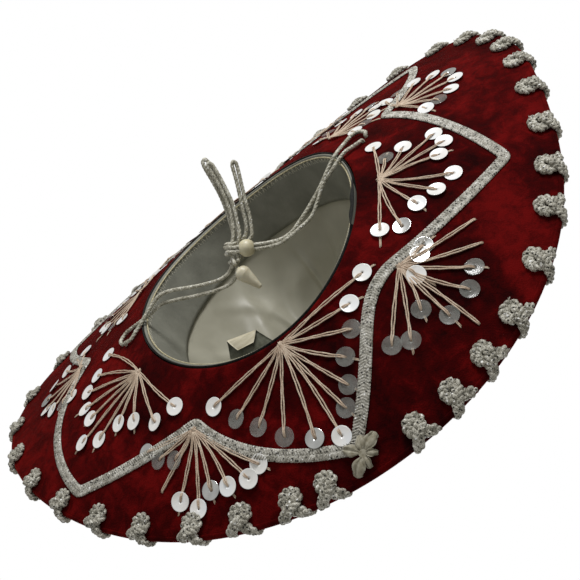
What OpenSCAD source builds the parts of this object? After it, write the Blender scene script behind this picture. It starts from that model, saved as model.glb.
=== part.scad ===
// Velvet charro sombrero with braid, thread fans, sequins, rim scrolls and a chin cord.
// Frame: +Z is the crown, -Y is the front, X runs across the head.
// The origin is the centre of the head opening, level with its edge at the two sides.
// Angles around the hat start at the front and grow towards +X.

/* [Head opening] */
// Half of the opening across the head
opening_half_width = 79; // [72:1:86]
// Half of the opening from front to back
opening_half_length = 96; // [88:1:102]
// How much higher the edge stands at the front and the back than at the sides
opening_rise = 11.6; // [6:0.2:14]

/* [Brim] */
// Half of the rim across the head
rim_half_width = 206; // [196:1:216]
// Half of the rim from front to back
rim_half_length = 173.5; // [166:0.5:182]
// How far the whole rim sits to the back
rim_shift_back = 15; // [8:1:18]
// Mean height of the rim over the opening
rim_height = 38.3; // [34:0.1:44]
// How much the front of the rim stands over the back, each way from the mean
rim_front_lift = 6.4; // [2:0.2:8]
// How much the front and back stand over the sides, each way from the mean
rim_saddle = 16.6; // [12:0.2:18]
// How much the -X side stands over the +X side, each way from the mean
rim_side_lift = 4.1; // [0:0.1:5]
// Thickness of the stiff board in the brim and the crown
board = 2; // [1.6:0.1:2.2]
// Thickness of the velvet
velvet = 0.8; // [0.6:0.1:0.9]
// Diameter of the wire in the rim
wire_d = 1.6; // [1.2:0.1:1.8]

/* [Crown] */
// Height of the crown over the opening
crown_height = 122; // [110:1:135]
// Share of its width that the crown loses towards the top
crown_taper = 0.16; // [0.1:0.01:0.22]
// Depth of the four pinches, as a share of the crown's width
pinch = 0.1; // [0.04:0.01:0.14]

/* [Inside] */
// Height of the sweatband
sweatband_height = 32; // [26:1:38]
// Thickness of the sweatband
sweatband_thick = 1; // [0.8:0.1:1.2]

/* [Trim] */
// Width of the flat braid
braid_w = 7.5; // [6:0.5:9]
// Thickness of the flat braid
braid_t = 1.2; // [0.8:0.1:1.4]
// Diameter of a sequin
sequin_d = 10; // [8:0.5:11]
// Thickness of a doubled sewing thread
thread_d = 1.2; // [0.9:0.1:1.3]
// Diameter of the braided cord in a scroll
scroll_cord = 3.6; // [3:0.1:3.8]
// Radius of a scroll's turn, to the middle of its cord
scroll_r = 4.2; // [4:0.1:4.6]

/* [Chin cord] */
// Diameter of the chin cord
cord_d = 2.4; // [2:0.1:2.4]
// Diameter of the round slider bead
bead_d = 10.5; // [10.2:0.1:11]
// Diameter of the bore through the slider bead, for both cords
bead_bore = 5.6; // [5.4:0.1:6]
// Length of the horn-shaped toggle
toggle_l = 19; // [17:0.5:21]
// Largest diameter of the toggle
toggle_d = 9.6; // [9:0.2:10]

/* [Hidden] */

velvet_red = "#8c1018";
silver = "#cfccc4";
thread_pink = "#d9c3a8";
pearl = "#f1f0ec";
around = 60;                                  // facets around the hat
around_step = 360 / around;
gap = 0.2;                                    // clear space between sewn layers
board_in = velvet + gap;                      // the board's underside over the brim's underside
board_out = board_in + board;
top_in = board_out + gap;
top_out = top_in + velvet;                    // whole thickness of the brim
rim_point = 0.06;                             // pulls the front of the rim out and the back in
rim_skew = -0.017;                            // turns the rim's long corners a little
rim_square = -0.018;                          // rounds the rim's diagonals
fade_from = 100;                              // where the corner terms begin to fade
rim_twist = -4.5;                             // lifts one diagonal of the rim over the other
slope_in = 26;                                // slope of the brim's profile at the opening
slope_out = 32;                               // slope of the brim's profile at the rim
crown_round = 2.3;                            // exponent of the crown's rounded profile
wall_clear = 0.3;                             // crown board outside the opening's edge

// ---------- vectors ----------
function unit(v) = v / norm(v);

// Frame at a point: x along the hat's turn, y outwards, z away from the surface
module in_frame(at, x, y, z) {
    multmatrix([
        [x[0], y[0], z[0], at[0]],
        [x[1], y[1], z[1], at[1]],
        [x[2], y[2], z[2], at[2]],
        [0, 0, 0, 1]
    ]) children();
}

// ---------- brim surface ----------
function profile_out(s) =
    (sin(slope_in + (slope_out - slope_in) * s) - sin(slope_in)) / (sin(slope_out) - sin(slope_in));
function profile_up(s) =
    (cos(slope_in) - cos(slope_in + (slope_out - slope_in) * s)) / (cos(slope_in) - cos(slope_out));
function edge_height(t) = opening_rise * pow(cos(t), 2);
// The corner terms fade out from fade_from to the back
function turn_from_front(t) = abs((t + 180) - 360 * floor((t + 180) / 360) - 180);
function corner_share(t) =
    0.5 + 0.5 * cos(180 * max(0, turn_from_front(t) - fade_from) / (180 - fade_from));
function rim_stretch(t) =
    1 + corner_share(t) * (rim_point * cos(3 * t) + rim_skew * sin(3 * t)) + rim_square * cos(4 * t);
function rim_level(t) =
    rim_height + rim_front_lift * cos(t) - rim_side_lift * sin(t)
    + rim_saddle * cos(2 * t) + rim_twist * sin(2 * t);
function opening_point(t) = [opening_half_width * sin(t), -opening_half_length * cos(t), edge_height(t)];
function rim_edge(t) = [
    rim_half_width * sin(t) * rim_stretch(t),
    rim_shift_back - rim_half_length * cos(t) * rim_stretch(t),
    rim_level(t)
];
// Underside of the brim: t is the angle around, s runs from 0 at the opening to 1 at the rim
function brim_point(t, s) =
    let (a = opening_point(t), b = rim_edge(t), g = profile_out(s), h = profile_up(s))
    [a[0] + (b[0] - a[0]) * g, a[1] + (b[1] - a[1]) * g, a[2] + (b[2] - a[2]) * h];
function brim_along(t, s) = unit(brim_point(t + 0.5, s) - brim_point(t - 0.5, s));
function brim_outward(t, s) = unit(brim_point(t, s + 0.01) - brim_point(t, s - 0.01));
function brim_up(t, s) = unit(cross(brim_outward(t, s), brim_along(t, s)));
// Point above the underside by off
function brim_at(t, s, off) = brim_point(t, s) + off * brim_up(t, s);
function brim_width(t) = norm(rim_edge(t) - opening_point(t));
// Turn per millimetre along the hat at a place on the brim
function turn_per_mm(t, s) = 1 / norm(brim_point(t + 0.5, s) - brim_point(t - 0.5, s));
// Place on the brim nearest to a point, stepped towards from (t, s)
function brim_place(point, t, s, steps = 5) =
    let (miss = point - brim_point(t, s))
    steps == 0 ? [t, s] : brim_place(point, t + miss * brim_along(t, s) * turn_per_mm(t, s),
                                     s + miss * brim_outward(t, s) / brim_width(t), steps - 1);
// Place reached from (t, s) after d millimetres in a direction a, measured from outwards towards +t
function brim_walk(t, s, a, d) =
    let (out = brim_outward(t, s), side = cross(out, brim_up(t, s)),
         turn = side * brim_along(t, s) > 0 ? side : -side)
    brim_place(brim_point(t, s) + d * (cos(a) * out + sin(a) * turn), t, s);

module on_underside(t, s, off = 0) {
    z = -brim_up(t, s);
    y = brim_outward(t, s);
    in_frame(brim_at(t, s, -off), cross(y, z), y, z) children();
}
module on_top(t, s, off = 0) {
    z = brim_up(t, s);
    y = brim_outward(t, s);
    in_frame(brim_at(t, s, top_out + off), cross(y, z), y, z) children();
}

// ---------- crown surface ----------
// h runs from 0 at the crown's foot to 1 at its top, off is the distance outside the opening's oval
function crown_foot(t) = edge_height(t) + board_out + 0.9 + 2.4 * pow(cos(t), 2);
function pinch_at(t, h) = 1 - pinch * pow(sin(180 * pow(h, 2)), 2) * (1 + cos(4 * (t - 45))) / 2;
function crown_r(t, h) =
    pow(max(0, 1 - pow(h, crown_round)), 1 / crown_round) * (1 - crown_taper * h) * pinch_at(t, h);
function crown_point(t, h, off) = [
    (opening_half_width + off) * crown_r(t, h) * sin(t),
    -(opening_half_length + off) * crown_r(t, h) * cos(t),
    crown_foot(t) * (1 - h) + (crown_height + off) * h
];
// Point of the straight wall below the crown's foot, rise over the opening's edge
function edge_wall(t, rise, off) = [
    (opening_half_width + off) * sin(t), -(opening_half_length + off) * cos(t), edge_height(t) + rise
];
module on_crown(t, h, off) {
    along = unit(crown_point(t + 0.5, h, off) - crown_point(t - 0.5, h, off));
    z = unit(cross(along, crown_point(t, h + 0.01, off) - crown_point(t, h - 0.01, off)));
    in_frame(crown_point(t, h, off), along, cross(z, along), z) children();
}

// ---------- solids from sections ----------
function flat(lists) = [for (l = lists) each l];

// Closed ring: each section is a polygon, seen along the turn anticlockwise
module ring_sweep(sections) {
    n = len(sections);
    m = len(sections[0]);
    polyhedron(flat(sections), [
        for (i = [0:n - 1], j = [0:m - 1])
            let (a = i * m + j, b = i * m + (j + 1) % m,
                 c = ((i + 1) % n) * m + (j + 1) % m, d = ((i + 1) % n) * m + j)
            each [[a, b, c], [a, c, d]]
    ], convexity = 8);
}

// Layer of the brim from s0 to s1 and from off0 to off1 above its underside
module brim_layer(s0, s1, off0, off1, steps = 5) {
    ring_sweep([
        for (i = [0:around - 1]) let (t = i * around_step) concat(
            [for (j = [0:steps]) brim_at(t, s0 + (s1 - s0) * j / steps, off0)],
            [for (j = [steps:-1:0]) brim_at(t, s0 + (s1 - s0) * j / steps, off1)])
    ]);
}

// Band of the crown from h0 to h1 and from off0 to off1
module crown_layer(h0, h1, off0, off1, steps = 4) {
    ring_sweep([
        for (i = [0:around - 1]) let (t = i * around_step) concat(
            [for (j = [steps:-1:0]) crown_point(t, h0 + (h1 - h0) * j / steps, off0)],
            [for (j = [0:steps]) crown_point(t, h0 + (h1 - h0) * j / steps, off1)])
    ]);
}

// Dome of the crown from height h0 to the top and from off0 to off1
module crown_dome(h0, off0, off1, steps) {
    a0 = asin(h0);
    levels = [for (j = [0:steps - 1]) sin(a0 + (90 - a0) * j / steps)];
    outer = [for (h = levels, i = [0:around - 1]) crown_point(i * around_step, h, off1)];
    inner = [for (h = levels, i = [0:around - 1]) crown_point(i * around_step, h, off0)];
    n = steps * around;
    outer_pole = 2 * n;
    inner_pole = 2 * n + 1;
    function at(j, i) = j * around + i % around;
    polyhedron(
        concat(outer, inner, [crown_point(0, 1, off1), crown_point(0, 1, off0)]),
        concat(
            [for (j = [0:steps - 2], i = [0:around - 1])
                each [[at(j, i), at(j + 1, i), at(j + 1, i + 1)], [at(j, i), at(j + 1, i + 1), at(j, i + 1)]]],
            [for (j = [0:steps - 2], i = [0:around - 1])
                each [[n + at(j, i), n + at(j + 1, i + 1), n + at(j + 1, i)],
                      [n + at(j, i), n + at(j, i + 1), n + at(j + 1, i + 1)]]],
            [for (i = [0:around - 1]) [at(steps - 1, i), outer_pole, at(steps - 1, i + 1)]],
            [for (i = [0:around - 1]) [n + at(steps - 1, i), n + at(steps - 1, i + 1), inner_pole]],
            [for (i = [0:around - 1])
                each [[at(0, i), at(0, i + 1), n + at(0, i + 1)], [at(0, i), n + at(0, i + 1), n + at(0, i)]]]),
        convexity = 8);
}

// Round bar of radius r around a closed path
module ring_bar(path, r, sides = 6) {
    n = len(path);
    ring_sweep([
        for (i = [0:n - 1])
            let (along = unit(path[(i + 1) % n] - path[(i + n - 1) % n]),
                 side = unit(cross([0, 0, 1], along)), up = cross(along, side))
            [for (k = [0:sides - 1]) path[i] + r * (cos(k * 360 / sides) * -side + sin(k * 360 / sides) * up)]
    ]);
}

// Round bar of radius r along an open path, with flat ends
module cord_tube(path, r, sides = 8) {
    n = len(path);
    function along(i) = unit(path[min(i + 1, n - 1)] - path[max(i - 1, 0)]);
    // each ring's side vector is the last one, squared to the new direction
    function sides_from(i, side) =
        let (v = unit(side - (side * along(i)) * along(i)))
        i == n - 1 ? [v] : concat([v], sides_from(i + 1, v));
    side = sides_from(0, [0.31, 0.9, 0.3]);
    points = [
        for (i = [0:n - 1], k = [0:sides - 1])
            path[i] + r * (cos(k * 360 / sides) * side[i] + sin(k * 360 / sides) * cross(along(i), side[i]))
    ];
    polyhedron(points, concat(
        [for (i = [0:n - 2], k = [0:sides - 1])
            let (a = i * sides + k, b = i * sides + (k + 1) % sides, c = b + sides, d = a + sides)
            each [[a, c, b], [a, d, c]]],
        [[for (k = [0:sides - 1]) k]],
        [[for (k = [sides - 1:-1:0]) (n - 1) * sides + k]]), convexity = 8);
}

// Thread of diameter d on the arc through three points, or straight where the arc is nearly flat
module arc_bar(a, b, c, d) {
    ab = b - a;
    ac = c - a;
    n = cross(ab, ac);
    centre = a + (cross(n, ab) * (ac * ac) + cross(ac, n) * (ab * ab)) / (2 * (n * n));
    x = unit(a - centre);
    z = unit(n);
    y = cross(z, x);
    r = norm(a - centre);
    sweep = atan2((c - centre) * y, (c - centre) * x);
    if (norm(n) / norm(ac) > 0.2) in_frame(centre, x, y, z)
        rotate_extrude(angle = sweep, $fn = 360) translate([r, 0]) circle(d = d, $fn = 16);
    else let (z = unit(ac), x = unit(cross(z, abs(z[2]) < 0.9 ? [0, 0, 1] : [0, 1, 0])))
        in_frame(a, x, cross(z, x), z) cylinder(d = d, h = norm(ac), $fn = 16);
}

// ---------- stars of braid ----------
// Corners of the star under the brim: [angle, place, bow of the edge that follows]
star = [
    [0, 0.81, 0.01], [32, 0.33, -0.03], [57, 0.84, 0.06], [100, 0.38, -0.02],
    [124, 0.8, 0.04], [150, 0.33, -0.02], [180, 0.8, 0.02], [210, 0.33, -0.02],
    [234, 0.78, 0.02], [255, 0.29, -0.05], [299, 0.74, -0.04], [326, 0.26, -0.2]
];
// Regular star on top of the brim
top_star = [for (k = [0:11]) [k * 30, k % 2 == 0 ? 0.84 : 0.4, 0.03]];
star_steps = 5;
// Places [t, s] along a star's edges
function star_line(corners) = [
    for (k = [0:len(corners) - 1], j = [0:star_steps - 1])
        let (a = corners[k], b = corners[(k + 1) % len(corners)], u = j / star_steps,
             turn = b[0] - a[0] + (b[0] < a[0] ? 360 : 0))
        [a[0] + turn * u, a[1] + (b[1] - a[1]) * u + 4 * a[2] * u * (1 - u)]
];
braid_base = 0.4;                             // underside of a braid over the velvet
function points_of(line) = [for (p = line) brim_point(p[0], p[1])];
under_star = points_of(star_line(star));
over_star = points_of(star_line(top_star));
// Distance of a point from the line of a star
function star_distance(p, line) = min([
    for (i = [0:len(line) - 1])
        let (a = line[i], d = line[(i + 1) % len(line)] - a, u = max(0, min(1, (p - a) * d / (d * d))))
        norm(p - a - u * d)
]);

// ---------- fans of thread and sequins ----------
// Each ray of a fan is [direction from outwards towards +t, length, bare where it has no sequin]
bare = true;
front_rays = [
    [85, 48], [65, 43], [46, 42], [27, 46], [9, 51], [-4, 57], [-15, 48], [-27, 42], [-45, 35], [-68, 37],
    [-88, 40], [-101, 55]
];
left_rays = [
    [72, 54], [55, 50], [42, 52], [28, 50], [14, 44], [1, 54], [-13, 44], [-30, 31], [-55, 31], [-79, 40],
    [-99, 45]
];
right_rays = [
    [-83, 39], [-67, 21], [-49, 30], [-32, 45], [-18, 43], [-5, 35], [22, 40], [42, 34], [65, 31], [88, 39],
    [105, 38]
];
left_valley_rays = [
    [61, 34], [46, 27], [26, 19], [7, 36, bare], [-4, 36.2], [-20.5, 39], [-34, 32.8], [-50, 36.5],
    [-65.5, 42.7], [-77, 43.5]
];
right_valley_rays = [
    [-56, 17], [-45.5, 46, bare], [-26, 42.5, bare], [-6, 36.5], [13.5, 37], [28.5, 50.5, bare], [39.5, 37],
    [56, 26.5], [71.5, 40.5], [84.5, 42]
];
function even_rays(share = 1) = [for (a = [-80:20:80]) [a, (36 + 8 * cos(2 * a)) * share]];
// [angle, place, rays] of each fan
lobe_fans = [
    [2, 0.05, front_rays],
    [66, 0.115, left_rays],
    [-67, 0.12, right_rays],
    [124, 0.13, even_rays(0.9)],
    [-121, 0.1, even_rays(0.82)],
    [180, 0.05, even_rays()]
];
valley_fans = [
    [31.5, 0.37, left_valley_rays],
    [-33.5, 0.31, right_valley_rays],
    [99, 0.42, even_rays(0.85)],
    [-103, 0.36, even_rays(0.9)],
    [150, 0.38, even_rays(0.9)],
    [-150, 0.38, even_rays(0.9)]
];
top_fans = [for (k = [0:5]) [k * 60, 0.24, even_rays()]];
crown_fans = 4;
crown_fan_h = 0.3;                            // height of the crown fans' roots
thread_start = 6;                             // bare middle of a fan, where the threads would meet
sequin_t = 0.3;
sequin_lift = 0.4;
thread_lift = thread_d / 2 + 0.4;

// How far out of its way a thread or sequin stands where it comes within reach of the braid
function over_braid(places, reach, side) =
    min([for (p = places) star_distance(brim_point(p[0], p[1]), side == 0 ? under_star : over_star)])
    < braid_w / 2 + reach ? braid_t + 0.2 : 0;
// A fan's threads under the brim, or on top of it when side is 1
module brim_threads(fans, side = 0) {
    for (fan = fans, ray = fan[2]) {
        stop = ray[1] - sequin_d / 2 - 0.6;
        p = [for (u = [0:0.1:1]) brim_walk(fan[0], fan[1], ray[0], thread_start + (stop - thread_start) * u)];
        lift = thread_lift + over_braid(p, 1.2, side);
        off = side == 0 ? -lift : top_out + lift;
        arc_bar(brim_at(p[0][0], p[0][1], off), brim_at(p[5][0], p[5][1], off),
                brim_at(p[10][0], p[10][1], off), thread_d);
    }
}
module sequin() {
    cylinder(d = sequin_d, h = sequin_t, $fn = 32);
}
module brim_sequins(fans, side = 0) {
    for (fan = fans, i = [0:len(fan[2]) - 1]) {
        ray = fan[2][i];
        p = brim_walk(fan[0], fan[1], ray[0], ray[1]);
        // neighbours lie at three levels, so that close ones pass over each other
        lift = sequin_lift + (i % 3) * (sequin_t + 0.15) + over_braid([p], sequin_d / 2 + 0.8, side);
        if (ray[2] != bare && side == 0) on_underside(p[0], p[1], lift) sequin();
        if (ray[2] != bare && side == 1) on_top(p[0], p[1], lift) sequin();
    }
}

// ---------- braid ----------
// Flat braid along a closed path of [point, unit vector away from the surface]
module flat_braid(line) {
    n = len(line);
    ring_sweep([
        for (i = [0:n - 1])
            let (p = line[i][0], z = line[i][1],
                 along = unit(line[(i + 1) % n][0] - line[(i + n - 1) % n][0]),
                 side = unit(cross(along, z)) * braid_w / 2, up = z * braid_t)
            [p + side, p + side + up, p - side + up, p - side]
    ]);
}

// ---------- knot and chin cord ----------
// Frame of the knot: x towards the slider bead, y into the crown, z towards the loops
knot_at = [5, 5, 0];
knot_turn = [146, -37, 193];
bead_at = [7.4, -4.4, 0.2];
bead_tilt = 82;                               // bore, from the loops' direction round to the cord's
toggle_at = [1, -6.3, -11.5];
toggle_lean = 128;                            // from the loops' direction round to the tip
// Routes in the knot's frame
left_route = [
    [-65.3, 5.9, -57.5], [-66.5, 5.2, -56.5], [-65.4, 3.6, -55.6], [-62.2, 2.4, -53.6], [-59.7, 3.6, -49.2],
    [-57.9, 4.8, -46.2], [-55.1, 6, -41], [-52.6, 7, -36.7], [-47.5, 7.5, -29], [-41, 7.5, -25.2],
    [-33, 7, -23.6], [-25, 5.5, -22.4],
    [-17.5, 4, -20.8], [-9.5, 3, -18.5], [-4.4, 2.2, -15], [-1.9, 1.5, -10.5], [-1.4, 1.3, -6],
    [-1.3, 1.4, -1], [-0.4, 1.8, 2.2], [2.6, 2, 4.8], [6.2, 2, 7.8], [6.8, 2, 14.5], [4.6, 2, 24],
    [3.2, 2, 31.5], [0.8, 2, 42], [-1.3, 2, 49.5], [-1, 2, 52.2], [0.8, 2, 51.5], [2.4, 2, 46],
    [4.6, 2, 36.5], [7.2, 2, 26], [9, 2, 19], [10, 2, 12], [10, 2, 7.8], [7.6, 2, 4.6], [4, 1.8, 1.6],
    [1.6, 1.4, -1.5], [1.3, 1.3, -6], [1.2, 1.5, -11], [0.8, 2, -16], [-3, 2.6, -21], [-11.5, 3.6, -24.8],
    [-19, 5, -26.8], [-27, 6.5, -28.6], [-36, 8, -30.3], [-45, 9.3, -32.8], [-51.5, 9.6, -38.5],
    [-58.6, 10.1, -44], [-63.3, 13.9, -47.1], [-67.5, 15.8, -50.3], [-69.9, 13.8, -54.2],
    [-69.9, 10.4, -56.3], [-68, 9.9, -57.6]
];
right_route = [
    [78.8, -1.1, 66], [77.9, -1.9, 67.4], [78.4, 0, 69.2], [75.6, 6.1, 70.8], [72.3, 8.5, 69.9],
    [69.1, 6.8, 67], [66, 2.4, 63], [60.8, -5.4, 56], [57, -5.4, 49.6], [51.7, -4.8, 37.8], [47, -4.6, 29],
    [41.6, -4.4, 20.1], [35.1, -4.4, 10.8], [31.4, -4.4, 7.4], [27, -4.4, 5], [20, -4.4, 3.3], [10, -4.4, 1.9],
    [0, -4.4, 0.5], [-3.2, -3.2, 0.8], [-4.5, 0, 1.2], [-3.4, 3.2, 1.6],
    [-1.5, 4.9, 4], [-1, 5, 8], [-2.6, 4.8, 15], [-4.9, 4.6, 22.5], [-8.6, 4.4, 32], [-13.4, 4.2, 41],
    [-17.8, 4, 48.5], [-19.2, 4, 52.5], [-17.6, 4, 54], [-15.4, 4, 51.6], [-10.9, 4.2, 44.6],
    [-5.8, 4.4, 35], [-2, 4.6, 25], [0.2, 4.8, 16], [1.8, 5, 8], [1.8, 5, 2.5], [0, 4.6, -1],
    [-3.2, 3.2, -1.6], [-4.5, 0, -1.9], [-3.2, -3.2, -2.1], [0, -4.4, -2.1], [10, -4.4, -0.7],
    [20, -4.6, 0.7], [26, -6.2, 2.2], [29.8, -7.2, 4.2], [36.9, -7.2, 10], [45.2, -7.2, 17.7], [49.3, -7.3, 27.2],
    [52.3, -7.6, 36.6], [58.2, -9.6, 46], [64.6, -10, 55], [69.6, -7.9, 58.9], [73.4, -8, 61.4],
    [75.7, -6.1, 63.3], [76.5, -5.4, 62.1]
];
toggle_route = [
    [0.5, -6, -10], [0, -4.5, -8.2], [-0.9, -2, -5.5], [-1.3, -1.3, -1], [-1.2, -1.2, 4], [-0.8, -0.5, 9],
    [-1.4, 0.5, 16], [-3.6, 0.8, 25], [-7.8, 0.9, 35], [-12.6, 0.9, 43.8], [-15.6, 0.9, 48.6],
    [-15.6, 0.9, 51.2], [-13.4, 0.9, 50.4], [-9.4, 0.9, 44], [-4.8, 0.8, 35], [-1, 0.8, 26.5],
    [1.3, 0.5, 17], [2.8, -0.5, 10], [2.4, -1.2, 5], [1.4, -1.3, -1], [2.1, -2.4, -5.3], [2.4, -4.4, -7.8]
];
module in_knot_frame() {
    translate(knot_at) rotate(knot_turn) children();
}

// ---------- sub-parts ----------
// Moulded side of the crown, on the same levels as the velvet over it
module crown_side_board() {
    levels = [for (a = [0:10:40]) sin(a)];
    color("#6d5a43") ring_sweep([
        for (i = [0:around - 1]) let (t = i * around_step) concat(
            [for (j = [4:-1:0]) crown_point(t, levels[j], wall_clear)],
            [for (h = levels) crown_point(t, h, wall_clear + board)])
    ]);
}
module crown_tip_board() {
    color("#6d5a43") crown_dome(sin(40), wall_clear, wall_clear + board, 5);
}
module crown_velvet() {
    color(velvet_red) crown_dome(0, wall_clear + board + gap, wall_clear + board + gap + velvet, 9);
}
module brim_board() {
    color("#6d5a43") brim_layer(0.02, 0.965, board_in, board_out);
}
module brim_under_velvet() {
    color(velvet_red) brim_layer(0, 0.985, 0, velvet);
}
module brim_top_velvet() {
    color(velvet_red) brim_layer(0.08, 0.985, top_in, top_out);
}
module rim_wire() {
    color("gray") ring_bar(
        [for (i = [0:around - 1]) brim_at(i * around_step, 0.978, (board_in + board_out) / 2)], wire_d / 2);
}
module rim_binding() {
    color(velvet_red) brim_layer(0.99, 1, -0.2, top_out + 0.2, 1);
}
module opening_tape() {
    color("#141414") ring_sweep([
        for (i = [0:around - 1]) let (t = i * around_step)
            [edge_wall(t, -0.6, -1.4), edge_wall(t, -0.6, -0.8), edge_wall(t, 9, -0.8), edge_wall(t, 9, -1.4)]
    ]);
}
module sweatband() {
    color("#8f9090") ring_sweep([
        for (i = [0:around - 1]) let (t = i * around_step, h = sweatband_height / crown_height) [
            edge_wall(t, 0, -1.7 - sweatband_thick), edge_wall(t, 0, -1.7),
            crown_point(t, h, -1.7), crown_point(t, h, -1.7 - sweatband_thick)]
    ]);
}
module sweatband_piping() {
    color("#cfc59a") ring_bar(
        [for (i = [0:around - 1]) edge_wall(i * around_step, 1.2, -2.7 - sweatband_thick)], 0.45);
}
module lining_side() {
    color("#cfcdc6") crown_layer(0.1, 0.82, -1.2, -0.6);
}
module lining_tip() {
    color("#dad8d0") crown_dome(0.76, -3, -2.3, 4);
}
// Folded strip, in the frame of its fold: x along the fold, y towards the wall, z out of the crown
module label_tab() {
    thick = 0.5;
    fold_r = 1.3;
    back = 10.2;
    flap = 7;
    x = unit([15.8, 1, -4.5]);
    z = unit(cross(x, [2.5, -9.5, 6.8]));
    bend = [for (a = [-90:-15:-270]) a];
    color("#d8cfae") in_frame([20.2, -75.5, 8.3], x, cross(z, x), z)
        rotate([90, 0, 90]) linear_extrude(20, center = true) polygon(concat(
            [[back, 0]], [for (a = bend) [fold_r * cos(a), fold_r + fold_r * sin(a)]], [[flap, 2 * fold_r]],
            [[flap, 2 * fold_r + thick]],
            [for (i = [len(bend) - 1:-1:0])
                [(fold_r + thick) * cos(bend[i]), fold_r + (fold_r + thick) * sin(bend[i])]],
            [[back, -thick]]));
}
module hat_band() {
    foot = wall_clear + board + gap + velvet + gap;
    color(silver) ring_sweep([
        for (i = [0:around - 1]) let (t = i * around_step) [
            crown_point(t, 0.05, foot), crown_point(t, 0.05, foot + 1.4),
            crown_point(t, 0.16, foot + 1.4), crown_point(t, 0.16, foot)]
    ]);
}
module under_braid() {
    line = star_line(star);
    color(silver) flat_braid([
        for (i = [len(line) - 1:-1:0]) let (t = line[i][0], s = line[i][1])
            [brim_at(t, s, -braid_base), -brim_up(t, s)]
    ]);
}
module top_braid() {
    color(silver) flat_braid([
        for (p = star_line(top_star)) [brim_at(p[0], p[1], top_out + braid_base), brim_up(p[0], p[1])]
    ]);
}
module crown_braid() {
    wave = 0.05;
    off = wall_clear + board + gap + velvet + 0.5;
    color(silver) flat_braid([
        for (i = [0:around - 1])
            let (t = i * around_step, h = 0.62 + wave * cos(4 * t), p = crown_point(t, h, off),
                 along = crown_point(t + 0.5, h, off) - crown_point(t - 0.5, h, off),
                 rise = crown_point(t, h + 0.01, off) - crown_point(t, h - 0.01, off))
            [p, unit(cross(along, rise))]
    ]);
}
module under_lobe_threads() {
    color(thread_pink) brim_threads(lobe_fans);
}
module under_lobe_sequins() {
    color(pearl) brim_sequins(lobe_fans);
}
module under_valley_threads() {
    color(thread_pink) brim_threads(valley_fans);
}
module under_valley_sequins() {
    color(pearl) brim_sequins(valley_fans);
}
module top_lobe_threads() {
    color(thread_pink) brim_threads(top_fans, 1);
}
module top_lobe_sequins() {
    color(pearl) brim_sequins(top_fans, 1);
}
crown_ray = 24;
crown_rays = [-60:30:60];
module crown_threads() {
    color(thread_pink) for (k = [0:crown_fans - 1], a = crown_rays)
        on_crown(k * 90, crown_fan_h, wall_clear + board + gap + velvet + 1.6)
            rotate([-90, 0, -a]) translate([0, 0, 4]) cylinder(d = thread_d, h = 12, $fn = 16);
}
module crown_sequins() {
    off = wall_clear + board + gap + velvet;
    color(pearl) for (k = [0:crown_fans - 1], a = crown_rays)
        on_crown(k * 90 + crown_ray * sin(a) * 0.6, crown_fan_h + crown_ray * cos(a) / crown_height, off + 0.9)
            cylinder(d = sequin_d - 2, h = sequin_t, $fn = 32);
}
// One scroll: a closed turn of cord, and its slimmer tail out to the rim's edge
module scroll() {
    rotate_extrude($fn = 48) translate([scroll_r, 0]) circle(d = scroll_cord, $fn = 24);
    translate([scroll_r - 0.2, 1, 0]) rotate([-90, 0, 0]) cylinder(d = scroll_cord - 0.6, h = 4.9, $fn = 24);
}
scroll_angles = [
    -107, -99, -90, -79, -67, -56, -47, -37, -28, -21, -14.5, -8, 6, 11.5, 19.5, 28.9, 38, 48.5, 60, 73, 87,
    100, 112, 124, 136, 147, 158, 169, 180, 191, 202, 213, 224, 235, 244
];
module rim_scrolls() {
    edge = 7;
    color(silver) for (t = scroll_angles)
        on_underside(t, 1 - edge / brim_width(t), scroll_cord / 2 + 0.5) scroll();
}
module front_bow() {
    petal = 11;
    color("#e4d9bd") on_underside(-0.5, 0.865, 0.5 + braid_t)
        difference() {
            union() for (a = [25, 115, 205, 295]) rotate([0, 0, a])
                translate([petal * 0.55, 0, 0]) cylinder(d = petal, h = 0.8, $fn = 32);
            translate([0, 0, -1]) cylinder(d = 4.4, h = 3, $fn = 32);
        }
}
module front_bow_button() {
    color("#d6cbb0") on_underside(-0.5, 0.865, 0.5 + braid_t) cylinder(d = 4, h = 2, $fn = 32);
}
module chin_cord_left() {
    color(silver) in_knot_frame() cord_tube(left_route, cord_d / 2);
}
module chin_cord_right() {
    color(silver) in_knot_frame() cord_tube(right_route, cord_d / 2);
}
module toggle_cord() {
    color(silver) in_knot_frame() cord_tube(toggle_route, cord_d / 2);
}
// Round bead with rounded mouths, on both strands of the right cord
module slider_bead() {
    color("#ded3b4") in_knot_frame() translate(bead_at) rotate([0, bead_tilt, 0]) difference() {
        sphere(d = bead_d, $fn = 64);
        translate([0, 0, -bead_d]) cylinder(d = bead_bore, h = 2 * bead_d, $fn = 48);
    }
}
// Horn-shaped toggle, its eye at the frame's origin and its tip along +Z
module toggle() {
    tip_r = 1.8;
    neck_r = 1.6;
    color("#e6dcbf") in_knot_frame() translate(toggle_at) rotate([0, toggle_lean, 0])
        rotate_extrude($fn = 64) polygon(concat(
            [[0, 1], [neck_r, 1]],
            [for (a = [0:15:90]) [neck_r + (toggle_d / 2 - neck_r) * sin(a), 6 - 4.4 * cos(a)]],
            [for (a = [0:15:90]) [tip_r * cos(a), toggle_l - tip_r + tip_r * sin(a)]]));
}

crown_side_board();
crown_tip_board();
crown_velvet();
brim_board();
brim_under_velvet();
brim_top_velvet();
rim_wire();
rim_binding();
opening_tape();
sweatband();
sweatband_piping();
lining_side();
lining_tip();
label_tab();
hat_band();
under_braid();
under_lobe_threads();
under_lobe_sequins();
under_valley_threads();
under_valley_sequins();
top_braid();
top_lobe_threads();
top_lobe_sequins();
crown_braid();
crown_threads();
crown_sequins();
rim_scrolls();
front_bow();
front_bow_button();
chin_cord_left();
chin_cord_right();
toggle_cord();
slider_bead();
toggle();
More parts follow.
